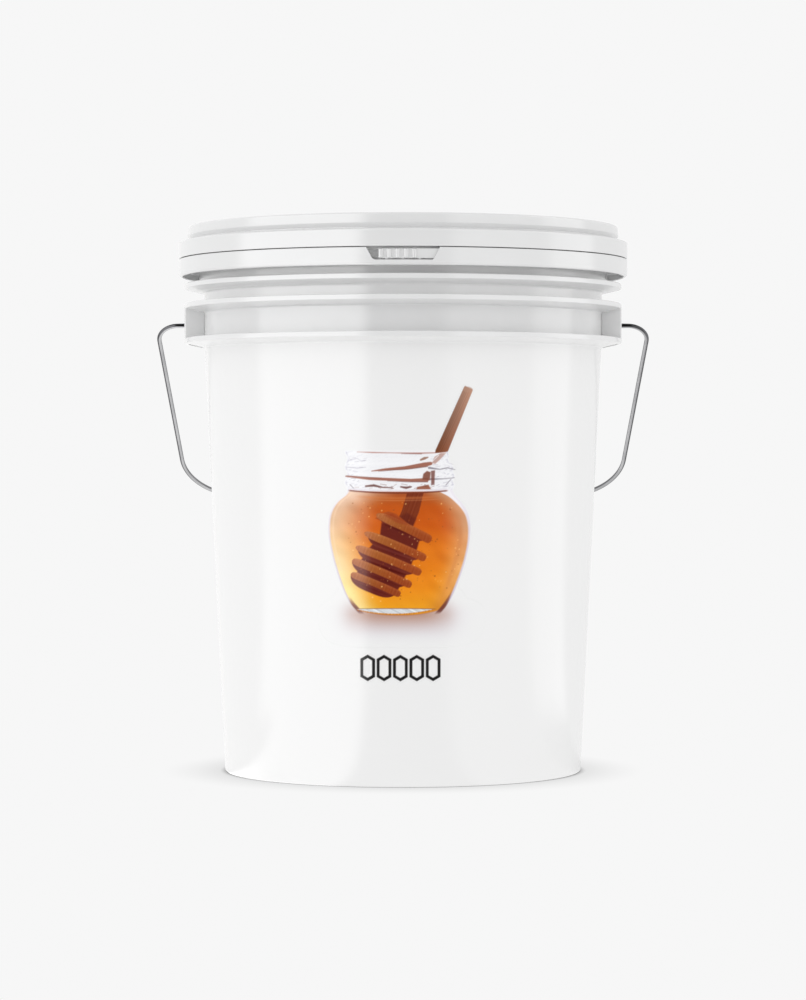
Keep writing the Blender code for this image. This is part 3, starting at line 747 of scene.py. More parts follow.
def make_grip(reach):
    """A moulded sleeve on the straight middle of the wire: three finger swells, recessed ends and a seam."""
    half, bore = GRIP_LENGTH / 2, GRIP_BORE_RADIUS
    tip = GRIP_RADIUS - GRIP_RIDGE_HEIGHT
    end = (
        (tip, 0, 0.0016), (tip - 0.0028, 0, 0.0004), (tip - 0.0032, 0.0022, 0.0006),
        (bore + 0.0016, 0.0022, 0.0004), (bore + 0.0014, 0.0006, 0.0003), (bore, 0.0006, 0.0003),
    )
    path = [(tip, half, 0.0016)]
    steps = GRIP_RIDGES * 24
    for step in range(2, steps - 1):
        wave = math.cos(math.tau * GRIP_RIDGES * step / steps)
        path.append((GRIP_RADIUS - GRIP_RIDGE_HEIGHT * (1 + wave) / 2, half - GRIP_LENGTH * step / steps, 0))
    path += [(radius, inset - half, corner) for radius, inset, corner in end]
    path += [(radius, half - inset, corner) for radius, inset, corner in reversed(end[1:])]

    def seam(angle, radius):
        if radius < GRIP_RADIUS - 0.003:
            return 0
        off = abs(math.remainder(angle, math.pi)) * radius
        return GRIP_SEAM_HEIGHT * math.exp(-((off / 0.0005) ** 2))

    grip = lathed("grip_sleeve", rounded(path), GRIP_PLASTIC, True, GRIP_SEGMENTS, seam)
    across = Matrix.Translation((0, 0, -reach)) @ Matrix.Rotation(math.pi / 2, 4, "Y")
    grip.data.transform(LEANT_BACK @ across)
    placed(smoothed(grip), "grip", "bail_grip")


# ---------------------------------------------------------------- printed picture, painted in millimetres
class Picture:
    """The picture, painted as an sRGB tone and a cover at points (x, z) of the front wall."""

    def __init__(self, x, z):
        self.x, self.z = x, z
        self.tone = np.ones((x.size, 3))
        self.cover = np.zeros(x.size)

    def lay(self, tone, mask):
        """Paints a tone, one for all points or one for each, over what is there. The mask is 0 to 1."""
        mask = np.clip(np.broadcast_to(mask, self.x.shape), 0, 1)
        total = mask + self.cover * (1 - mask)
        share = np.divide(mask, total, out=np.zeros_like(total), where=total > 1e-6)[:, None]
        self.tone = self.tone * (1 - share) + np.clip(tone, 0, 1) * share
        self.cover = total


def ink(red, green, blue):
    return np.array((red, green, blue)) / 255


def ease(value, start, end):
    """0 before start, 1 after end and a smooth S between them."""
    t = np.clip((value - start) / (end - start), 0, 1)
    return t * t * (3 - 2 * t)


def filled(distance, soft=0.28):
    """A mask that is 1 where the signed distance is negative, with an edge as soft as a printed one."""
    return 1 - ease(distance, -soft, soft)
def strip(value, half, soft=0.28):
    """A mask of the points where the value is within half of 0."""
    return filled(np.abs(value) - half, soft)


def curve_at(knots, values, at):
    """A smooth curve through the knots, read at other places."""
    knots, values = np.asarray(knots, float), np.asarray(values, float)
    slopes = np.gradient(values, knots)
    index = np.clip(np.searchsorted(knots, at) - 1, 0, len(knots) - 2)
    width = knots[index + 1] - knots[index]
    t = np.clip((at - knots[index]) / width, 0, 1)
    start = (2 * t**3 - 3 * t**2 + 1) * values[index] + (t**3 - 2 * t**2 + t) * width * slopes[index]
    end = (3 * t**2 - 2 * t**3) * values[index + 1] + (t**3 - t**2) * width * slopes[index + 1]
    return start + end


def tone_at(rows, at):
    """The tone at each height, from (height, tone) rows in rising order."""
    heights = [row[0] for row in rows]
    return np.stack([np.interp(at, heights, [row[1][c] for row in rows]) for c in range(3)], axis=1)


def from_line(x, z, start, end):
    """(distance to the line from start to end, signed distance across it, share along it)."""
    (ax, az), (bx, bz) = start, end
    dx, dz = bx - ax, bz - az
    length = math.hypot(dx, dz)
    along = ((x - ax) * dx + (z - az) * dz) / length**2
    near = np.clip(along, 0, 1)
    distance = np.hypot(x - ax - near * dx, z - az - near * dz)
    return distance, ((z - az) * dx - (x - ax) * dz) / length, along


def stroke(x, z, points, width, soft=0.28):
    """A mask of a pen stroke through the points. Width is one number, or one for each point."""
    widths = np.broadcast_to(width, len(points))
    mask = np.zeros(x.size)
    for i in range(len(points) - 1):
        distance, _, along = from_line(x, z, points[i], points[i + 1])
        half = (widths[i] + (widths[i + 1] - widths[i]) * np.clip(along, 0, 1)) / 2
        mask = np.maximum(mask, filled(distance - half, soft))
    return mask


def polygon(x, z, points, soft=0.28):
    """A mask of a filled outline."""
    distance = np.full(x.size, 1e9)
    inside = np.zeros(x.size, bool)
    for (ax, az), (bx, bz) in zip(points, points[1:] + points[:1]):
        distance = np.minimum(distance, from_line(x, z, (ax, az), (bx, bz))[0])
        crosses = (az > z) != (bz > z)
        reach = ax + (z - az) * (bx - ax) / (bz - az if bz != az else 1e-9)
        inside ^= crosses & (x < reach)
    return filled(np.where(inside, -distance, distance), soft)


def ripples(value, seed, count, finest, coarsest):
    """An irregular wave, about -1 to 1, made of a few sine waves with seeded lengths and phases."""
    random = np.random.default_rng(seed)
    total = np.zeros_like(value)
    for _ in range(count):
        length = random.uniform(finest, coarsest)
        total += np.sin(math.tau * value / length + random.uniform(0, math.tau))
    return total / math.sqrt(count)


# The jar's outline, as (height, left edge, right edge).
JAR_ROWS = (
    (112, -27, 22), (117.3, -31.7, 27), (120, -34, 29), (126.4, -37.6, 32.6), (133, -40.3, 35.4),
    (139.5, -42.6, 37.8), (152.5, -46.4, 41.8), (165.6, -48.7, 43.9), (173.4, -48.7, 43.9),
    (178.6, -47.9, 42.8), (183.8, -45.7, 40.4), (188, -42.4, 37.2), (191.5, -38, 34.2), (195, -35.6, 32.2),
)
# The middle, half width, low point and rise of the jar's foot.
JAR_FOOT = (-2.3, 29.4, 112.9, 4.4)
# Where the honey's right edge runs inside the thick glass of the shoulder.
HONEY_RIGHT = (
    (111, 22), (117.3, 26.2), (126.4, 31.2), (139.5, 36.6), (152.5, 40.6), (165.6, 42.6), (173.4, 42.2),
    (180, 40), (186.5, 34.6), (191.7, 28), (194.5, 22),
)
# The honey's tones at rising heights: in its deep middle, at its lit left and at its right edge.
HONEY_TONES = (
    (118, ink(238, 158, 24), ink(247, 222, 145), ink(211, 132, 43)),
    (130, ink(237, 141, 15), ink(250, 229, 152), ink(232, 160, 80)),
    (144, ink(231, 127, 13), ink(249, 224, 168), ink(230, 165, 96)),
    (160, ink(221, 114, 12), ink(243, 204, 150), ink(224, 158, 104)),
    (172, ink(205, 91, 12), ink(232, 190, 148), ink(212, 160, 120)),
    (184, ink(196, 85, 13), ink(224, 184, 150), ink(208, 150, 108)),
    (193, ink(172, 86, 44), ink(238, 204, 178), ink(208, 150, 108)),
)
GLASS_TONES = (
    (112, ink(186, 112, 58)), (116, ink(190, 140, 112)), (122, ink(206, 196, 214)), (170, ink(222, 214, 226)),
    (190, ink(236, 232, 238)),
)
WOOD_LIGHT, WOOD_WARM = ink(165, 92, 38), ink(158, 70, 26)
WOOD_DARK, WOOD_DEEP = ink(116, 44, 28), ink(98, 29, 24)
# The dipper's discs, from the top, as (left tip, right end, light face, dark side,
# bluntness, where the dark side starts).
DISCS = (
    ((-18.6, 176.4), (17.2, 159.4), 5.8, 2.6, 4, 0.07),
    ((-26.2, 164.4), (13.9, 147.6), 5.4, 4, 5, 0.06),
    ((-31.8, 155.2), (10.9, 138.2), 5.2, 4.2, 7, 0.03),
    ((-34.2, 146.6), (4.6, 130.2), 5, 4.2, 11, 0),
    ((-35, 137.8), (-2.6, 124.4), 4.6, 4.6, 11, 0),
)
CELL_COUNT, CELL_PITCH, CELL_PEN = 5, 10.7, 2.1
CELL_HALF_WIDTH, CELL_HALF_HEIGHT, CELL_SLOPE = 4.9, 8.8, 0.58
CELLS_MIDDLE = (-1.7, 78.5)
CELL_INK = ink(30, 30, 30)


def paint_shadow(picture):
    """The soft shadow under the jar: brown against its base, fading to lavender grey."""
    x, z = picture.x, picture.z
    near = np.exp(-(((x + 2.5) / 29) ** 4)) * np.exp(-((113.5 - z).clip(0) / 6.5) ** 1.5) * ease(z, 96, 104)
    far = np.exp(-(((x + 1) / 36) ** 4)) * (1 - ease(113 - z, 2, 21))
    halo = np.exp(-((np.abs(x + 2.5) - 30).clip(0) / 7) ** 2) * np.exp(-(((z - 114) / 9) ** 2))
    above = 1 - ease(z, 113, 124)
    picture.lay(ink(214, 207, 219), far * 0.7 * above)
    picture.lay(ink(206, 184, 180), halo * 0.5)
    picture.lay(ink(182, 138, 118), near * 0.86 * above)


def paint_honey(picture, left, right, deep_right):
    """Glass and honey of the jar's belly: pale where light comes through on the left, then amber and gold."""
    x, z = picture.x, picture.z
    middle, half, low, rise = JAR_FOOT
    foot = low + rise * (np.abs(x - middle) / half) ** 2.4
    belly = filled(np.maximum(left - x, x - right), 0.5) * filled(foot - z, 0.4) * filled(z - 195.2, 0.6)
    picture.lay(tone_at(GLASS_TONES, z), belly)
    inside = filled(left + 1.8 - x, 0.7) * filled(x - right + 1.8, 0.7)
    picture.lay(ink(246, 243, 248), belly * inside * ease(z, 116, 120) * 0.8)
    body = filled(np.maximum(left + 1 - x, x - deep_right), 0.7) * filled(foot + 0.5 - z, 0.4)
    body = body * filled(z - 194, 0.5)
    spread = np.interp(z, (118, 150, 190), (24, 31, 38))
    glow = 1 - ease(x, left + 0.5, left + spread)
    rim = ease(x, deep_right - 18, deep_right - 0.5)
    tone, lit, edged = (tone_at([(row[0], row[which]) for row in HONEY_TONES], z) for which in (1, 2, 3))
    tone += (lit - tone) * (glow**1.15)[:, None]
    tone += (edged - tone) * (rim**1.3 * 0.9)[:, None]
    swirl = 0.018 * ripples(x * 0.5 + z * 0.9, 3, 6, 8, 30) * ripples(x - z * 0.3, 4, 6, 9, 34)
    picture.lay(tone + swirl[:, None], body)
    band = strip(x - deep_right + 5.2, 1.3, 1.4) * ease(z, 122, 140) * filled(z - 176, 6)
    picture.lay(ink(196, 108, 52), band * body * 0.25)
    for side, edge in ((-1, left + 1.7), (1, right - 1.7)):
        thick = strip(x - edge, np.interp(z, (114, 119, 128), (1.7, 1.5, 0.4)), 0.7)
        picture.lay(ink(112, 58, 46), thick * ease(z, 113.2, 116) * (1 - ease(z, 118, 130 + 4 * side)) * 0.92)
    picture.lay(ink(255, 226, 190), strip(x - left - 3, 0.5, 0.8) * body * ease(z, 134, 150) * 0.35)


def paint_surface(picture):
    """The honey's surface: a thin dark bow where it meets the glass, with a paler band under it."""
    x, z = picture.x, picture.z
    bow = 193 + ((x + 2.5) / 33) ** 2 * 1.6
    within = strip(x + 3.2, 32, 1.2)
    picture.lay(ink(214, 128, 70), strip(z - bow + 3.4, 0.7, 0.9) * strip(x + 4, 24, 6) * 0.5)
    picture.lay(ink(236, 170, 120), strip(z - bow + 5, 0.25, 0.4) * strip(x - 2, 20, 6) * 0.4)
    picture.lay(ink(118, 52, 34), strip(z - bow, 0.45, 0.4) * within * 0.9)
    picture.lay(ink(228, 222, 230), strip(z - bow - 1.3, 0.45, 0.4) * within * 0.8)


def paint_dipper(picture):
    """The dipper in the honey: a stick and tilted discs on a core, each a light face over a dark side."""
    x, z = picture.x, picture.z
    grain = ripples(x * 0.94 - z * 0.34, 11, 8, 0.5, 3)
    along = ripples(x * 0.34 + z * 0.94, 12, 6, 2, 9)
    stick = [(2.6, 193), (13.4, 193), (10.4, 180.5), (6.4, 171), (-4.4, 172.8), (-0.6, 182)]
    wet_wood = ink(122, 50, 26) + 0.03 * grain[:, None]
    picture.lay(wet_wood, polygon(x, z, stick) * 0.94)
    shaded = polygon(x, z, [(-2, 178), (2, 172), (6.6, 171), (8.6, 176), (3, 180)], 1.2)
    picture.lay(ink(90, 26, 20), shaded * 0.5)
    head = [
        (-18, 176.4), (-14.5, 179.6), (-9.5, 181), (-4.5, 179.4), (5, 171.5), (17.5, 164.6), (16.5, 160.5),
        (-6, 171),
    ]
    picture.lay(ink(168, 74, 28), polygon(x, z, head, 0.5) * 0.94)
    core_left = [(-14, 173.6), (-15, 165), (-22, 157), (-27.4, 149), (-30, 141)]
    core_right = [(-4.5, 127.5), (0.5, 136.6), (5.4, 146), (9.2, 156.6), (11, 163)]
    picture.lay(WOOD_DEEP, polygon(x, z, core_left + core_right, 0.6) * 0.94)
    for number, (tip, end, light, dark, blunt, first) in enumerate(DISCS):
        spread = 2 / (0.92 - first)
        _, off, t = from_line(x, z, tip, end)
        full = np.clip(1 - np.abs(2 * t - 1) ** np.where(t < 0.5, blunt, 22), 0, None) ** 0.45
        under = np.clip(1 - np.abs(spread * (t - first) - 1) ** 3.2, 0, None) ** 0.6
        bow = 0.5 * (1 - (2 * t - 1) ** 2)
        off = off - bow
        on = (t > -0.02) & (t < 1.02)
        shade = tone_at(((0, WOOD_DARK), (0.55, WOOD_DEEP), (1, WOOD_DARK)), t)
        side = (light / 2 + dark) * under / 2
        side = strip(off - light / 2 + side, side, 0.4) * on * (under > 0)
        picture.lay(shade + 0.03 * along[:, None], side)
        lit = WOOD_LIGHT + (WOOD_WARM - WOOD_LIGHT) * ease(t, 0.2, 0.9)[:, None]
        lit = lit + (1 - ease(t, 0.05, 0.4))[:, None] * np.array((0.06, 0.05, 0.07))
        lit = lit - 0.05 * ease(number, 1.5, 4.5) * np.array((0.6, 0.4, 0.1))
        edge = 0.05 * ease(off, light * 0.55, light)[:, None]
        band = strip(off - light / 2, light * full / 2, 0.35) * on
        picture.lay(lit + edge + 0.022 * grain[:, None], band * (full > 0.02) * 0.97)
    front = polygon(x, z, [(-12.5, 178.6), (-7, 179.4), (-1.5, 176.2), (4.5, 171.6), (-4, 173.6)], 0.8)
    picture.lay(ink(150, 58, 24), front * 0.6)


def paint_bubbles(picture, left, deep_right):
    """Tiny bubbles and specks held in the honey."""
    x, z = picture.x, picture.z
    random = np.random.default_rng(29)
    for _ in range(150):
        cx, cz = random.uniform(-36, 38), random.uniform(122, 188)
        size, bright, strength = random.uniform(0.22, 0.55), random.random() < 0.4, random.uniform(0.25, 0.75)
        tone = ink(255, 206, 130) if bright else ink(150, 74, 24)
        dot = filled(np.hypot(x - cx, z - cz) - size, 0.25) * strength
        picture.lay(tone, dot * (x > left + 4) * (x < deep_right - 2))


def paint_base(picture):
    """The thick foot of the jar: a pale lens of glass over a broken amber line."""
    x, z = picture.x, picture.z
    top = 117.5 - 0.0006 * (x + 4.8) ** 2
    bottom = 114 + ((x + 5.4) / 26) ** 2 * 3.1
    lens = filled(np.maximum(z - top, bottom - z), 0.35) * strip(x + 4.8, 25.6, 0.8)
    sheen = ink(212, 220, 232) + 0.07 * ripples(x + 2 * z, 21, 6, 2, 9)[:, None]
    picture.lay(sheen, lens * 0.94)
    picture.lay(ink(96, 60, 44), strip(z - top, 0.2, 0.3) * strip(x + 4.7, 26, 1) * 0.7)
    edge = strip(z - bottom + 0.3, 0.5, 0.35) * strip(x + 4.8, 25, 1)
    dots = 0.62 + 0.38 * np.clip(ripples(x, 22, 5, 1.4, 3.4), -1, 1)
    picture.lay(ink(196, 116, 44), edge * dots * 0.85)


def paint_neck(picture):
    """The clear screw neck: near-white glass with brown streaks where the stick shows in its threads."""
    x, z = picture.x, picture.z
    left = -37.3 + 0.8 * np.sin(z * 0.62)
    right = np.interp(z, (193, 199, 209, 213, 221), (32.2, 33.4, 33.2, 30.4, 29.2)) + 0.5 * np.sin(z * 0.9)
    neck = filled(np.maximum(left - x, x - right), 0.5) * ease(z, 192.4, 193.6) * filled(z - 220.6, 0.6)
    clear = ink(244, 244, 247) + 0.008 * ripples(z, 31, 5, 3, 9)[:, None] * np.array((1, 1, 0.8))
    picture.lay(clear, neck * 0.9)
    cloud = np.clip(ripples(x + 0.4 * z, 33, 7, 3, 14) * ripples(z - 0.3 * x, 34, 7, 1, 4.5), 0, 1.6)
    sides = 0.25 + 0.75 * ease(np.abs(x + 3), 16, 34)
    picture.lay(ink(176, 176, 190), neck * cloud * sides * 0.3)
    for edge, inset in ((left, 0.9), (right, -0.9)):
        wave = 0.35 + 0.3 * np.sin(z * 1.3)
        picture.lay(ink(196, 194, 208), strip(x - edge - inset, 0.4, 0.5) * neck * wave)
    brown, rust, dark, umber = ink(160, 100, 82), ink(150, 84, 60), ink(104, 62, 56), ink(140, 84, 68)
    grey = ink(118, 110, 122)
    streaks = (
        ([(-30, 219.8), (-20, 219.4), (-8, 219.2), (10, 218.9), (20, 219.2), (28, 219.6)],
         (0.3, 0.8, 0.5, 1, 0.7, 0.3), ink(178, 124, 114), 0.85),
        ([(-1, 218.6), (12, 218.4)], (0.3, 0.4), dark, 0.6),
        ([(-20.4, 207.3), (-11.9, 208.3), (1.2, 209.3), (14.2, 211.5), (18, 212.2)],
         (0.5, 1.5, 2.2, 2.9, 2.2), brown, 0.95),
        ([(-16, 207), (-6, 208), (4, 208.6), (16, 210.2)], (0.2, 0.4, 0.5, 0.6), dark, 0.6),
        ([(-37.3, 203.9), (-22.3, 202.4), (-8, 201.8), (5.1, 201.2), (15.5, 201.5)],
         (0.9, 1.8, 1.9, 2, 2.6), brown, 0.95),
        ([(-37, 204.3), (-22, 203.2), (-14, 202.9)], (0.3, 0.4, 0.2), dark, 0.5),
        ([(-10, 200.8), (4, 200.2), (16, 200.2)], (0.3, 0.4, 0.6), dark, 0.6),
        ([(17, 209.4), (24, 208.4), (29, 209.4), (34, 208.2)], (1.4, 0.6, 0.7, 0.5), grey, 0.75),
        ([(18, 202), (26, 202.2), (33.6, 202.9)], (1.2, 0.6, 0.4), grey, 0.75),
        ([(-24.3, 197.4), (-19, 197.9), (-13, 196.6), (-7, 196.4)], (1.1, 1.6, 0.8, 0.6), dark, 0.85),
        ([(-1.4, 197), (2, 196.4), (5.4, 197)], (1, 1.6, 0.8), dark, 0.85),
        ([(-31.5, 194.9), (-20, 194.6), (-8, 194.2), (6, 194.6)], (0.3, 0.7, 0.9, 1.2), umber, 0.7),
        ([(-34.6, 198.4), (-31.6, 195.4)], (0.5, 0.4), grey, 0.7),
        ([(28, 198.2), (31.4, 202)], (0.5, 0.4), grey, 0.7),
        ([(-36.7, 209.9), (-30, 209.2), (-24.3, 209.8)], (0.4, 0.6, 0.3), ink(178, 174, 188), 0.7),
        ([(-36, 213.8), (-30, 215.6), (-27, 213.6)], (0.3, 0.5, 0.3), ink(190, 186, 200), 0.6),
        ([(11.6, 214.6), (14, 215.6), (16.2, 216.2)], (1.2, 1.8, 0.8), ink(150, 108, 88), 0.85),
    )
    for points, widths, tone, strength in streaks:
        picture.lay(tone, stroke(x, z, points, widths, 0.35) * strength)
    patches = (
        ([(18.6, 212.4), (20.6, 216.6), (24.6, 219), (28, 219), (24, 214.6), (21, 212)], brown, 0.55),
        ([(12.6, 201.6), (13.2, 205.4), (15.6, 207.4), (18, 206.6), (17.6, 201.2)], ink(132, 78, 62), 0.92),
        ([(18.4, 198), (18.2, 207.4), (20.9, 207.8), (20.5, 198.4)], ink(116, 66, 56), 0.8),
        ([(8.2, 194), (9.4, 197), (16.6, 198.4), (18.6, 195)], rust, 0.9),
    )
    for points, tone, strength in patches:
        picture.lay(tone, polygon(x, z, points, 0.45) * strength)
    picture.lay(ink(240, 238, 240), stroke(x, z, [(19, 213.4), (23.2, 217.6)], (0.6, 0.5), 0.4) * 0.8)
    random = np.random.default_rng(41)
    for _ in range(46):
        low = random.random() < 0.45
        cx = random.uniform(-33, 24) if low else random.choice((-1, 1)) * random.uniform(20, 34) - 2
        cz = random.uniform(195.2, 198.6) if low else random.uniform(196, 219)
        across, up = random.uniform(0.8, 4) / 2, random.uniform(-0.9, 0.9) / 2
        tone = ink(120, 76, 66) if low else ink(160, 154, 170)
        mark = stroke(x, z, [(cx - across, cz - up), (cx + across, cz + up)], (0.25, 0.3), 0.3)
        picture.lay(tone, mark * random.uniform(0.3, 0.75))


def paint_stick(picture):
    """The dipper's handle above the jar: a round stick, lit on its right, with grain along it."""
    x, z = picture.x, picture.z
    foot, tip = (25, 219.9), (42.5, 260.6)
    distance, across, along = from_line(x, z, foot, tip)
    half = 3.95 - 0.85 * np.clip(along, 0, 1)
    mask = filled(distance - half, 0.3) * ease(z - 0.12 * (x - 25), 219.2, 219.8) * filled(along - 1.03, 0.01)
    tone = tone_at(((0, ink(128, 74, 48)), (0.5, ink(143, 97, 75)), (1, ink(170, 126, 103))), along)
    light = ease(-across, -3.6, 3.8)[:, None]
    tone = tone * (0.93 + 0.17 * light)
    grain = ripples(across * 1.6 + 0.05 * along * 40, 41, 7, 0.8, 3.4)[:, None]
    picture.lay(tone + 0.022 * grain, mask)
    cap = filled(np.hypot((x - 42.4) / 3, (z - 260.6) / 1.9) * 1.9 - 1.9, 0.3)
    picture.lay(ink(180, 138, 116), cap * 0.5)


def paint_cells(picture):
    """A row of tall honeycomb cells under the jar, drawn as bold dark outlines."""
    for index in range(CELL_COUNT):
        middle = CELLS_MIDDLE[0] + (index - (CELL_COUNT - 1) / 2) * CELL_PITCH
        across, up = np.abs(picture.x - middle), np.abs(picture.z - CELLS_MIDDLE[1])
        slope = (up - CELL_HALF_HEIGHT + across * CELL_SLOPE) / math.hypot(1, CELL_SLOPE)
        edge = np.maximum(across - CELL_HALF_WIDTH, slope) + CELL_PEN / 2
        picture.lay(CELL_INK, strip(edge, CELL_PEN / 2, 0.25))


def linear(tone):
    """The sRGB tone as linear light."""
    return np.where(tone <= 0.04045, tone / 12.92, ((tone + 0.055) / 1.055) ** 2.4)


def with_neighbours(mask, combine):
    """A grid mask combined with its four neighbours, such as grown by np.logical_or."""
    made = mask.copy()
    upper, lower, every = np.s_[1:], np.s_[:-1], np.s_[:]
    pairs = ((upper, lower), ((every, upper), (every, lower)))
    for one, other in pairs:
        made[one] = combine(made[one], mask[other])
        made[other] = combine(made[other], mask[one])
    return made


PICTURE_SIDES, PICTURE_HEIGHTS, FILM_PITCH = (-60, 58), (64, 268), 0.4
FAINTEST_INK = 0.004
FILM_BORDER = 3
# How far the film stands over the wall and its border under it, in metres.
FILM_LIFT, BORDER_LIFT = 0.00012, -0.00005


def make_print():
    """The picture as a thin skin on the front wall where there is ink, its border sunk into the wall."""
    xs, zs = np.arange(*PICTURE_SIDES, FILM_PITCH), np.arange(*PICTURE_HEIGHTS, FILM_PITCH)
    grid_x, grid_z = (axis.ravel() for axis in np.meshgrid(xs, zs))
    picture = Picture(grid_x, grid_z)
    rows = np.array(JAR_ROWS)
    left = curve_at(rows[:, 0], rows[:, 1], grid_z)
    right = curve_at(rows[:, 0], rows[:, 2], grid_z)
    honey = np.array(HONEY_RIGHT)
    deep_right = np.minimum(curve_at(honey[:, 0], honey[:, 1], grid_z), right - 0.9)
    paint_shadow(picture)
    paint_neck(picture)
    paint_honey(picture, left, right, deep_right)
    paint_dipper(picture)
    paint_bubbles(picture, left, deep_right)
    paint_surface(picture)
    paint_base(picture)
    paint_stick(picture)
    paint_cells(picture)
    kept = (picture.cover > FAINTEST_INK).reshape(len(zs), len(xs))
    for _ in range(FILM_BORDER):
        kept = with_neighbours(kept, np.logical_or)
    core = with_neighbours(kept, np.logical_and)
    row, column = np.nonzero(kept[:-1, :-1] & kept[1:, :-1] & kept[:-1, 1:] & kept[1:, 1:])
    at = row * len(xs) + column
    faces = np.stack([at, at + 1, at + len(xs) + 1, at + len(xs)], axis=1)
    used, faces = np.unique(faces, return_inverse=True)
    faces = faces.reshape(-1, 4)
    lift = np.where(core.ravel()[used], FILM_LIFT, BORDER_LIFT)
    x, z = grid_x[used] / 1000, grid_z[used] / 1000
    y = -np.sqrt((wall_radius(z) + lift) ** 2 - x**2)
    film = mesh_object("print_film", np.stack([x, y, z], axis=1).tolist(), faces.tolist(), PRINT)
    film.data.shade_smooth()
    colours = film.data.color_attributes.new("picture", "FLOAT_COLOR", "POINT")
    tones = np.concatenate([linear(np.clip(picture.tone, 0, 1)), picture.cover[:, None]], axis=1)[used]
    colours.data.foreach_set("color", tones.astype(np.float32).ravel())
    placed(film, "pail", "front_print")


# ---------------------------------------------------------------- stage, light and camera
BACKDROP = 0.929
ROOM_LEFT, ROOM_RIGHT, SIDE_SPAN = 1.16, 1.01, (-0.9, 0.4)
ROOM_DARK = 0.05
FLOOR_SIZE = 30
FLOOR_GLOW = 1
CONTACT_REACH, CONTACT_DEPTH = 0.045, 0.3
TOUCH_REACH, TOUCH_DEPTH = 0.004, 0.6
PANEL_EDGE = 4
# The panels, as (name, azimuths, elevations, radiance), in degrees. Azimuth 0 is in front of the pail, and
# azimuth 90 is to its right as seen from there. Elevation 0 is level.
PANELS = (
    ("key_left", -90, -21, -25, 50, 2.3),
    ("key_floor", -76, -21, -70, -25, 2.3),
    ("left_floor", -90, -76, -70, -25, 0.9),
    ("fill_near", 25, 80, -60, 50, 0.8),
    ("fill_far", 80, 112, -25, 50, 1.7),
    ("fill_floor", 80, 112, -70, -25, 0.6),
    ("rear_right", 112, 190, -70, 50, 0.8),
    ("rear_left", -190, -90, -70, 50, 0.95),
    ("ceiling", -190, 190, 60, 100, 0.4),
)
LENS, SENSOR_WIDTH, CAMERA_SHIFT = 115.7, 36, -0.044
CAMERA_PLACE = (0, -2.227, 0.2171)


def panel_light(nodes, azimuth, elevation, panel):
    """One large soft panel of the studio: bright between its azimuths and elevations, with soft edges."""
    _, low, high, floor, roof, level = panel
    soft = math.radians(PANEL_EDGE)
    for angle, start, end in ((azimuth, low, high), (elevation, floor, roof)):
        start, end = math.radians(start), math.radians(end)
        rise = nodes.range(angle, start - soft, start + soft, 0, 1, "SMOOTHSTEP")
        fall = nodes.range(angle, end - soft, end + soft, 1, 0, "SMOOTHSTEP")
        level = nodes.times(nodes.times(rise, fall), level)
    return level


def all_panels(nodes, place, elevation):
    """The panels together, over the dark room, for a direction or a place on the floor."""
    azimuth = nodes.maths("ARCTAN2", place["X"], nodes.times(place["Y"], -1))
    level = ROOM_DARK
    for panel in PANELS:
        level = nodes.plus(level, panel_light(nodes, azimuth, elevation, panel))
    return level


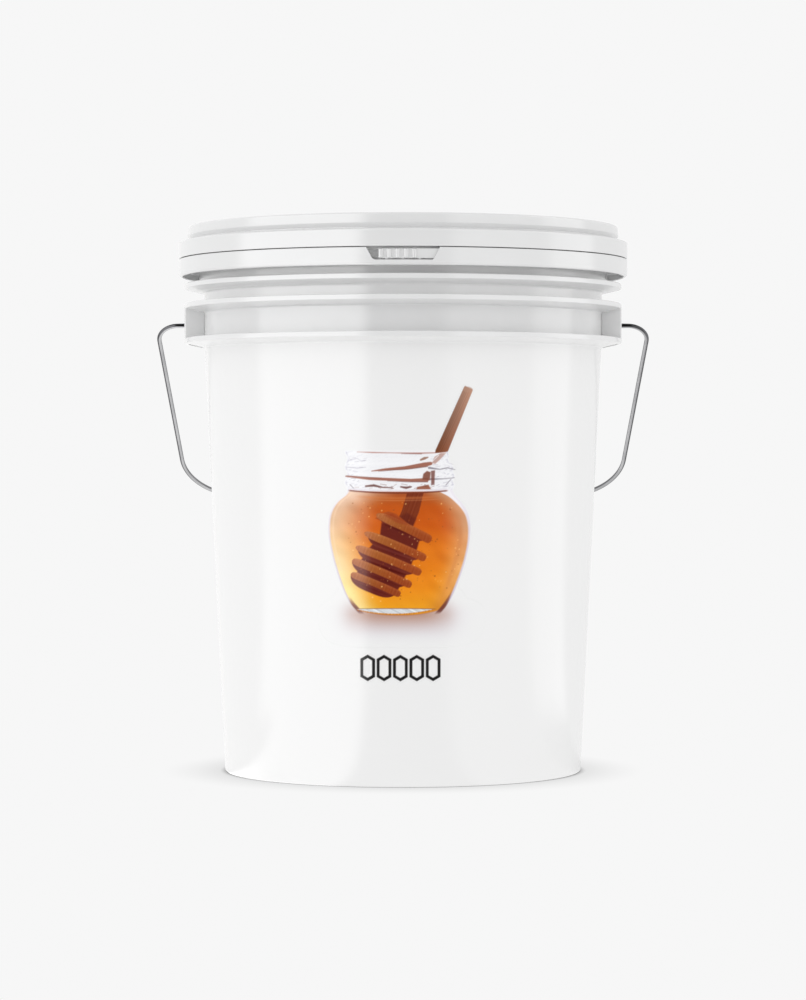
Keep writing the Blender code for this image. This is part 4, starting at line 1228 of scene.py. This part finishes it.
def make_floor():
    """A pale floor glowing in the backdrop's tone, darkened only by a painted contact shadow round the pail's
    foot.

    Gloss and steel see in it a painted reflection of the panels that stand round it.
    """
    corners = [(x * FLOOR_SIZE, y * FLOOR_SIZE, 0) for x, y in ((-1, -1), (1, -1), (1, 1), (-1, 1))]
    nodes = Nodes("glowing_floor")
    floor = mesh_object("floor", corners, [(0, 1, 2, 3)], nodes.material)
    shades = []
    # Painted shadow: ambient occlusion darkens the floor's glow near the pail, for the contact shadow.
    for samples, reach, depth in ((24, CONTACT_REACH, CONTACT_DEPTH), (16, TOUCH_REACH, TOUCH_DEPTH)):
        near = nodes.set(nodes.add("AmbientOcclusion", samples=samples), Distance=reach)
        shades.append(nodes.maths("POWER", near.outputs["AO"], depth))
    below = nodes.maths("ARCTAN2", -PAIL_HEIGHT / 2, nodes.length(nodes.place()))
    mirrored = all_panels(nodes, nodes.axes(nodes.place()), below)
    path = nodes.add("LightPath").outputs
    level = nodes.mix(path["Is Glossy Ray"], FLOOR_GLOW, mirrored, "FLOAT")
    level = nodes.mix(path["Is Camera Ray"], level, nodes.times(nodes.times(*shades), BACKDROP), "FLOAT")
    glow = nodes.set(nodes.add("Emission"), Strength=level)
    nodes.set(nodes.tree.nodes["Material Output"], Surface=glow.outputs["Emission"])


def make_world():
    """A pale backdrop for the camera, even light for matt surfaces and the panels for gloss and steel."""
    world = bpy.data.worlds.new("studio")
    bpy.context.scene.world = world
    world.use_nodes = True
    world.node_tree.nodes.clear()
    nodes = Nodes("studio", world.node_tree)
    way = nodes.axes(nodes.place(source="Generated"))
    panels = all_panels(nodes, way, nodes.maths("ARCSINE", way["Z"]))
    even = nodes.range(way["X"], *SIDE_SPAN, ROOM_LEFT, ROOM_RIGHT, "SMOOTHSTEP")
    path = nodes.add("LightPath").outputs
    shown = None
    for level, ray in ((even, None), (panels, "Is Glossy Ray"), (BACKDROP, "Is Camera Ray")):
        light = nodes.set(nodes.add("Background"), Color=(1, 1, 1), Strength=level).outputs[0]
        if ray is None:
            shown = light
            continue
        mixed = nodes.add("MixShader")
        for socket, value in zip(mixed.inputs, (path[ray], shown, light)):
            nodes.put(value, socket)
        shown = mixed.outputs[0]
    nodes.set(nodes.add("OutputWorld"), Surface=shown)


def make_camera():
    """Level with the print, far back, with a small shift that sets the horizon a little above the middle."""
    data = bpy.data.cameras.new("camera")
    data.lens = LENS
    data.sensor_width = SENSOR_WIDTH
    data.shift_y = CAMERA_SHIFT
    data.clip_end = 100
    camera = linked("camera", data)
    camera.location = CAMERA_PLACE
    camera.rotation_euler = (math.pi / 2, 0, 0)
    bpy.context.scene.camera = camera


make_pail()
make_lid()
make_gasket()
make_tear_band()
make_tear_tab()
make_grip(make_bail())
make_print()
make_floor()
make_world()
make_camera()
bpy.context.scene.view_settings.view_transform = "Standard"
